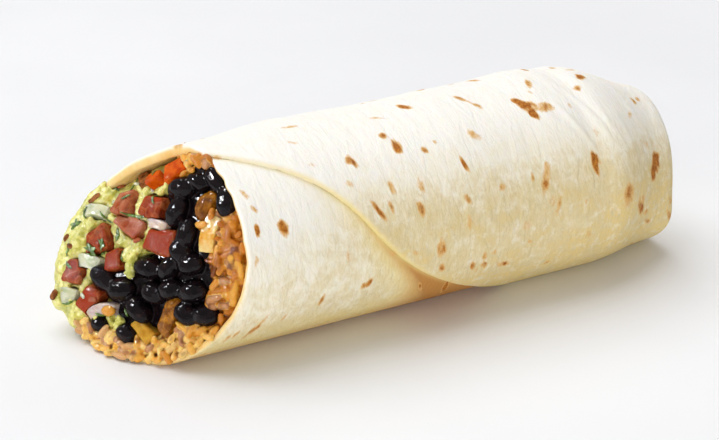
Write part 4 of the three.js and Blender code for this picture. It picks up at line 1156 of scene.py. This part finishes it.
def push_out_of(obstacles, ends):
    for g in range(len(ends[0])):
        for share in (0.0, 0.5, 1.0):
            place = Vector(ends[0][g] * (1 - share) + ends[1][g] * share)
            hit, normal, _, distance = obstacles.find_nearest(place, GRAIN_THICKNESS * 2.5)
            if hit is None:
                continue
            depth = OBSTACLE_GAP - math.copysign(distance, (place - hit).dot(normal))
            if depth > 0:
                step = np.array(normal) * min(depth, OBSTACLE_PUSH)
                ends[0][g] += step * (1 - share)
                ends[1][g] += step * share


def settle(places, obstacles):
    """Grains pushed apart from each other and out of the larger pieces, as stiff rods with round ends."""
    centre, line, half = (np.array(values) for values in zip(*places))
    reach = half[:, None] - ROD_RADIUS
    ends = [centre - line * reach, centre + line * reach]
    pairs = np.triu_indices(len(places), 1)
    for n in range(SETTLING_ROUNDS):
        push_grains_apart(ends, pairs)
        if n % OBSTACLES_EVERY == 0:
            push_out_of(obstacles, ends)
        middle, line = (ends[0] + ends[1]) / 2, unit(ends[1] - ends[0])
        middle = middle + PULL_BACK * (centre - middle)
        ends = [middle - line * reach, middle + line * reach]
        for end in ends:
            end[:, 2] = np.maximum(end[:, 2], GRAIN_THICKNESS / 2 + 0.15)
    middle, line = (ends[0] + ends[1]) / 2, unit(ends[1] - ends[0])
    up = middle[:, 2] - axis_height(0.0)
    kept = np.linalg.norm(middle - centre, axis=1) < STRAY
    kept &= np.hypot(middle[:, 1], up) < FILL_RADIUS + 1.2
    kept &= np.array([among_rice(y, z) for y, z in zip(middle[:, 1], up)])
    return middle[kept], line[kept], half[kept]


def grain_parts(n, centre, line, half):
    """A grain, blunter at its ends than a ball, bowed and thinner towards one end."""
    points, faces = ball(10, 12)
    x, y, z = points.T
    full = np.maximum(np.hypot(y, z), 1e-6) ** -0.25
    bend = RNG.uniform(-0.16, 0.16)
    thick = GRAIN_THICKNESS / 2 * RNG.uniform(0.9, 1.06)
    taper = full * thick * (1 - 0.14 * x)
    local = np.stack([blunted(x, 0.9) * half, y * taper + bend * (1 - x * x) * thick * 2, z * taper * 0.88], -1)
    local *= (1 + 0.12 * noise(local + 13 * n, 1.5, n))[:, None]
    side = unit(np.cross(line, RNG.normal(size=3)))
    return local @ np.column_stack([line, side, np.cross(line, side)]).T + centre, faces


def joined_tree(surfaces):
    points, faces, _ = merged(surfaces)
    return BVHTree.FromPolygons(points.tolist(), faces)


def mouth_of(obj):
    """A piece's points, and its triangles near the mouth."""
    points, faces = arrays(obj.data)
    return points, faces[(points[faces][:, :, 0] < MOUTH_ENDS).all(1)]


def grains_and_lumps():
    """The closed shapes of the heap, and marks inside them: place, shade and how thick the shape is there."""
    obstacles = joined_tree([mouth_of(tortilla), bean_surface, guacamole_surface, *solid_pieces])
    grains = list(zip(*settle(grain_places(), obstacles)))
    parts, marks = [grain_parts(n, *grain) for n, grain in enumerate(grains)], []
    for centre, line, half in grains:
        by_bottom = float(1 - smoothstep(centre[2], 9, 18))
        shade = 0.01 + 0.54 * RNG.beta(2, 2) + 0.20 * float(smoothstep(centre[1], -18, 6)) + 0.33 * by_bottom
        shade = BROWN_SHADE if RNG.random() < BROWN_SHARE else shade
        marks += [(centre + line * half * t, shade, GRAIN_THICKNESS / 2) for t in (-0.66, -0.33, 0, 0.33, 0.66)]
    for n, (y, z, length, width, turn, shade, proud) in enumerate(LUMPS):
        points, faces = ball(24, 18)
        shaped = points * [length / 2, width / 2, width / 2 * 0.9]
        shaped *= (1 + 0.12 * rough(shaped + 47 * n, 3.0, 2, n))[:, None]
        where = (*surface_frame(y, z), turn, proud - width * 0.45)
        parts.append((laid(shaped, *where), faces))
        inner = laid(np.array([[length / 2 * t, 0, 0] for t in (-0.5, 0, 0.5)]), *where)
        marks += [(place, shade, width / 2) for place in inner]
    return parts, marks


def rice_piece():
    parts, marks = grains_and_lumps()
    points, faces, *rest = refined("rice", voxel=0.5, passes=3, cut=8)
    parts.append((points - normals_of(points, faces) * 0.35, faces))
    points, faces = fused(parts, voxel=0.33, passes=1)
    tree = KDTree(len(marks))
    for n, (place, _, _) in enumerate(marks):
        tree.insert(place, n)
    tree.balance()
    found = [tree.find(p) for p in points]
    shade = np.array([marks[n][1] for _, n, _ in found])
    # Points further from a grain's middle than its thickness lie in the gaps between grains, which get sauce and
    # painted shade.
    sauce = 0.95 * smoothstep(np.array([away / marks[n][2] for _, n, away in found]), 0.98, 1.35)
    return merged([(points, faces, {"shade": shade, "sauce": sauce}), (*rest, {"shade": 0.2, "sauce": 0.8})])


rice = rice_piece()
show(new_object("rice_grains", *rice), rice_look(), "rice", "rice")

# ---- herbs and scraps lying on the filling ----
STRAND_STEPS, STRAND_RIM = 18, 10
DROP_FROM, DROP = 12, 20
# Strands: across, up, length, width, turn, curve.
STRANDS = [
    (26.4, 11.6, 4.4, 0.9, 8, 0.5), (21.5, 15.8, 6.5, 0.8, 35, -0.8), (10.4, 9.0, 7.6, 1.3, -8, 0.4),
    (20.6, 5.6, 5.2, 0.8, 14, 0.2), (12.8, 21.4, 5.0, 0.9, 70, 0.5), (8.8, -2.4, 3.2, 1.4, 60, 0.2),
    (17.6, -4.2, 5.0, 1.5, -30, 0.4), (28.0, 5.0, 3.0, 1.2, 60, 0.3), (27.6, -5.6, 3.4, 1.0, 80, 0.2),
    (14.8, 2.6, 4.0, 1.6, 60, -0.3), (24.6, -9.6, 3.4, 1.0, 20, 0.3), (15.4, 12.6, 3.0, 0.8, -40, 0.3),
    (5.6, 15.2, 3.2, 0.9, 40, 0.3), (8.4, -19.6, 3.0, 1.0, 0, 0.2), (2.0, -17.6, 2.6, 0.9, 50, 0.2),
    (20.2, -19.6, 3.2, 1.0, -30, 0.2),
]
# Scraps of the dice, and dark flecks of the cooked tomato by the rim: across, up, length, width, turn.
TOMATO_SCRAPS = [
    (25.6, 12.6, 2.8, 1.8, 20), (16.2, 8.8, 3.0, 1.8, 30), (19.6, -12.4, 2.8, 1.8, 30),
    (12.4, -16.4, 3.0, 1.7, 10), (5.4, 3.2, 2.4, 1.6, 40),
]
COOKED_SCRAPS = [
    (28.4, 8.4, 4.6, 1.5, 50), (26.8, 12.0, 3.4, 2.0, 40), (29.8, -2.6, 2.8, 1.6, 70),
    (25.2, -18.4, 3.2, 2.4, 80), (27.0, -4.4, 2.4, 1.5, 10),
]
ONION_SCRAPS = [
    (22.4, 9.6, 2.4, 1.4, 20), (17.6, 15.8, 2.2, 1.3, -30), (14.4, 4.8, 2.0, 1.3, 60),
    (23.0, -2.6, 2.2, 1.4, 0), (16.2, -16.4, 2.2, 1.3, -20), (4.2, -19.4, 2.0, 1.2, 30),
    (11.4, 17.4, 2.2, 1.2, 60),
]


def landed(y, z):
    """Where something dropped onto the filling comes to rest: the place, and the way out of the surface."""
    at, axes = surface_frame(y, z)
    hit, normal, _, _ = filling.ray_cast(Vector(at + axes[:, 2] * DROP_FROM), Vector(-axes[:, 2]), DROP)
    return (at, axes[:, 2]) if hit is None else (np.array(hit), np.array(normal))


def strand_parts(y, z, length, width, turn, curve):
    places = []
    for t in np.linspace(-0.5, 0.5, STRAND_STEPS):
        angle = math.radians(turn) + curve * t
        places.append(landed(y + math.cos(angle) * length * t, z + math.sin(angle) * length * t))
    centre, out = (np.array(values) for values in zip(*places))
    for values in (centre, out):
        for _ in range(2):
            values[1:-1] = (values[:-2] + 2 * values[1:-1] + values[2:]) / 4
    out = unit(out)
    side = unit(np.cross(out, np.gradient(centre, axis=0)))
    taper = (np.sin(np.linspace(0.12, math.pi - 0.12, STRAND_STEPS)) ** 0.7)[:, None]
    angle = np.arange(STRAND_RIM) / STRAND_RIM * 2 * math.pi
    across = np.cos(angle) * width / 2 * taper
    lift = 0.22 + np.sin(angle) * 0.2 + 0.12 * np.cos(angle + np.arange(STRAND_STEPS)[:, None]) * taper
    points = centre[:, None] + side[:, None] * across[..., None] + out[:, None] * lift[..., None]
    faces = ring_faces(STRAND_STEPS, STRAND_RIM, closed=False, clockwise=True)
    last = (STRAND_STEPS - 1) * STRAND_RIM
    faces += [list(range(STRAND_RIM))[::-1], list(range(last, last + STRAND_RIM))]
    return points.reshape(-1, 3), faces


def scrap_parts(n, y, z, length, width, turn):
    points, faces = ball(14, 10)
    shaped = blunted(points, 0.7) * [length / 2, width / 2, width * 0.28]
    shaped *= (1 + 0.2 * noise(shaped + 23 * n, 1.2, n))[:, None]
    at, out = landed(y, z)
    side = unit(np.cross(out, [0.0, 0.0, 1.0]))
    return laid(shaped, at, np.column_stack([side, np.cross(out, side), out]), turn, width * 0.08), faces


filling = joined_tree([bean_surface, guacamole_surface, *solid_pieces, rice[:2]])
strands = merged([strand_parts(*strand) for strand in STRANDS])
show(new_object("herb_strands", *strands), leaf_material, "cilantro")
for name, first, scraps, material, slot, marks in (
    ("tomato_scraps", 0, TOMATO_SCRAPS, tomato, "tomato", {"skin": 0.0, "pale": 0.35}),
    ("cooked_scraps", 20, COOKED_SCRAPS, cooked, "tomato", {}),
    ("onion_scraps", 40, ONION_SCRAPS, white, "onion", {}),
):
    parts = [(*scrap_parts(n, *scrap), marks) for n, scrap in enumerate(scraps, first)]
    show(new_object(name, *merged(parts)), material, slot)

# ---- floor, light and camera ----
FLOOR_SIDE = 6.0
# Place, target, size, power and colour of each light. A glint is only seen in what is wet.
LIGHTS = {
    "window": ((-0.5, 1.7, 4.1), (0.02, 0, 0.03), (5.2, 4.4), 200, (0.98, 0.99, 1.0)),
    "side_fill": ((-1.2, -1.25, 0.24), (-0.05, 0, 0.02), (0.9, 0.36), 13, (1.0, 0.985, 0.95)),
    "glint_left": ((-0.86, 0.2, 0.5), (-0.08, 0, 0.03), (0.13, 0.08), 12, (0.93, 0.96, 1.0)),
    "glint_top": ((-0.2, 0.5, 0.85), (-0.08, 0, 0.03), (0.24, 0.05), 7, (0.96, 0.98, 1.0)),
}
WORLD_COLOR, WORLD_STRENGTH = (1.0, 0.945, 0.92, 1), 0.4
VIEW_AZIMUTH, VIEW_ELEVATION, VIEW_DISTANCE = math.radians(-28.974), math.radians(24.0), 633.787
VIEW_TARGET = (54.031, 0, 26.413)


def floor_piece():
    look = Shader("floor", Roughness=0.5, Specular_IOR_Level=0.2)
    color = look.ramp(look.noise(160, 5), (0.4, (0.832, 0.848, 0.868)), (0.62, (0.858, 0.874, 0.894)))
    mesh = bpy.data.meshes.new("floor")
    corners = [(x * FLOOR_SIDE / 2, y * FLOOR_SIDE / 2, 0) for x, y in ((-1, -1), (1, -1), (1, 1), (-1, 1))]
    mesh.from_pydata(corners, [], [(0, 1, 2, 3)])
    mesh.materials.append(look.finished(color, (look.noise(40, 3), 0.2, 0.1)))
    linked("floor", mesh)


def aimed(obj, place, way):
    """Puts a light or the camera at a place, looking along a way."""
    obj.location = place
    obj.rotation_euler = way.to_track_quat("-Z", "Y").to_euler()


def area_light(name, place, target, size, power, color):
    data = bpy.data.lights.new(name, "AREA")
    data.shape = "RECTANGLE"
    data.size, data.size_y = size
    data.energy = power
    data.color = color
    obj = linked(name, data)
    aimed(obj, place, Vector(target) - Vector(place))
    obj.visible_glossy = name.startswith("glint")
    obj.visible_diffuse = not obj.visible_glossy


floor_piece()
for name, light in LIGHTS.items():
    area_light(name, *light)

scene = bpy.context.scene
scene.world = bpy.data.worlds.new("studio")
scene.world.use_nodes = True
background = scene.world.node_tree.nodes["Background"]
background.inputs["Color"].default_value = WORLD_COLOR
background.inputs["Strength"].default_value = WORLD_STRENGTH
scene.view_settings.view_transform = "Standard"

scene.camera = linked("camera", bpy.data.cameras.new("camera"))
scene.camera.data.lens, scene.camera.data.sensor_width = 100, 36
back = Vector((
    math.sin(VIEW_AZIMUTH) * math.cos(VIEW_ELEVATION), -math.cos(VIEW_AZIMUTH) * math.cos(VIEW_ELEVATION),
    math.sin(VIEW_ELEVATION),
))
aimed(scene.camera, (Vector(VIEW_TARGET) - Vector((MIDDLE, 0, 0)) + back * VIEW_DISTANCE) * MM, -back)
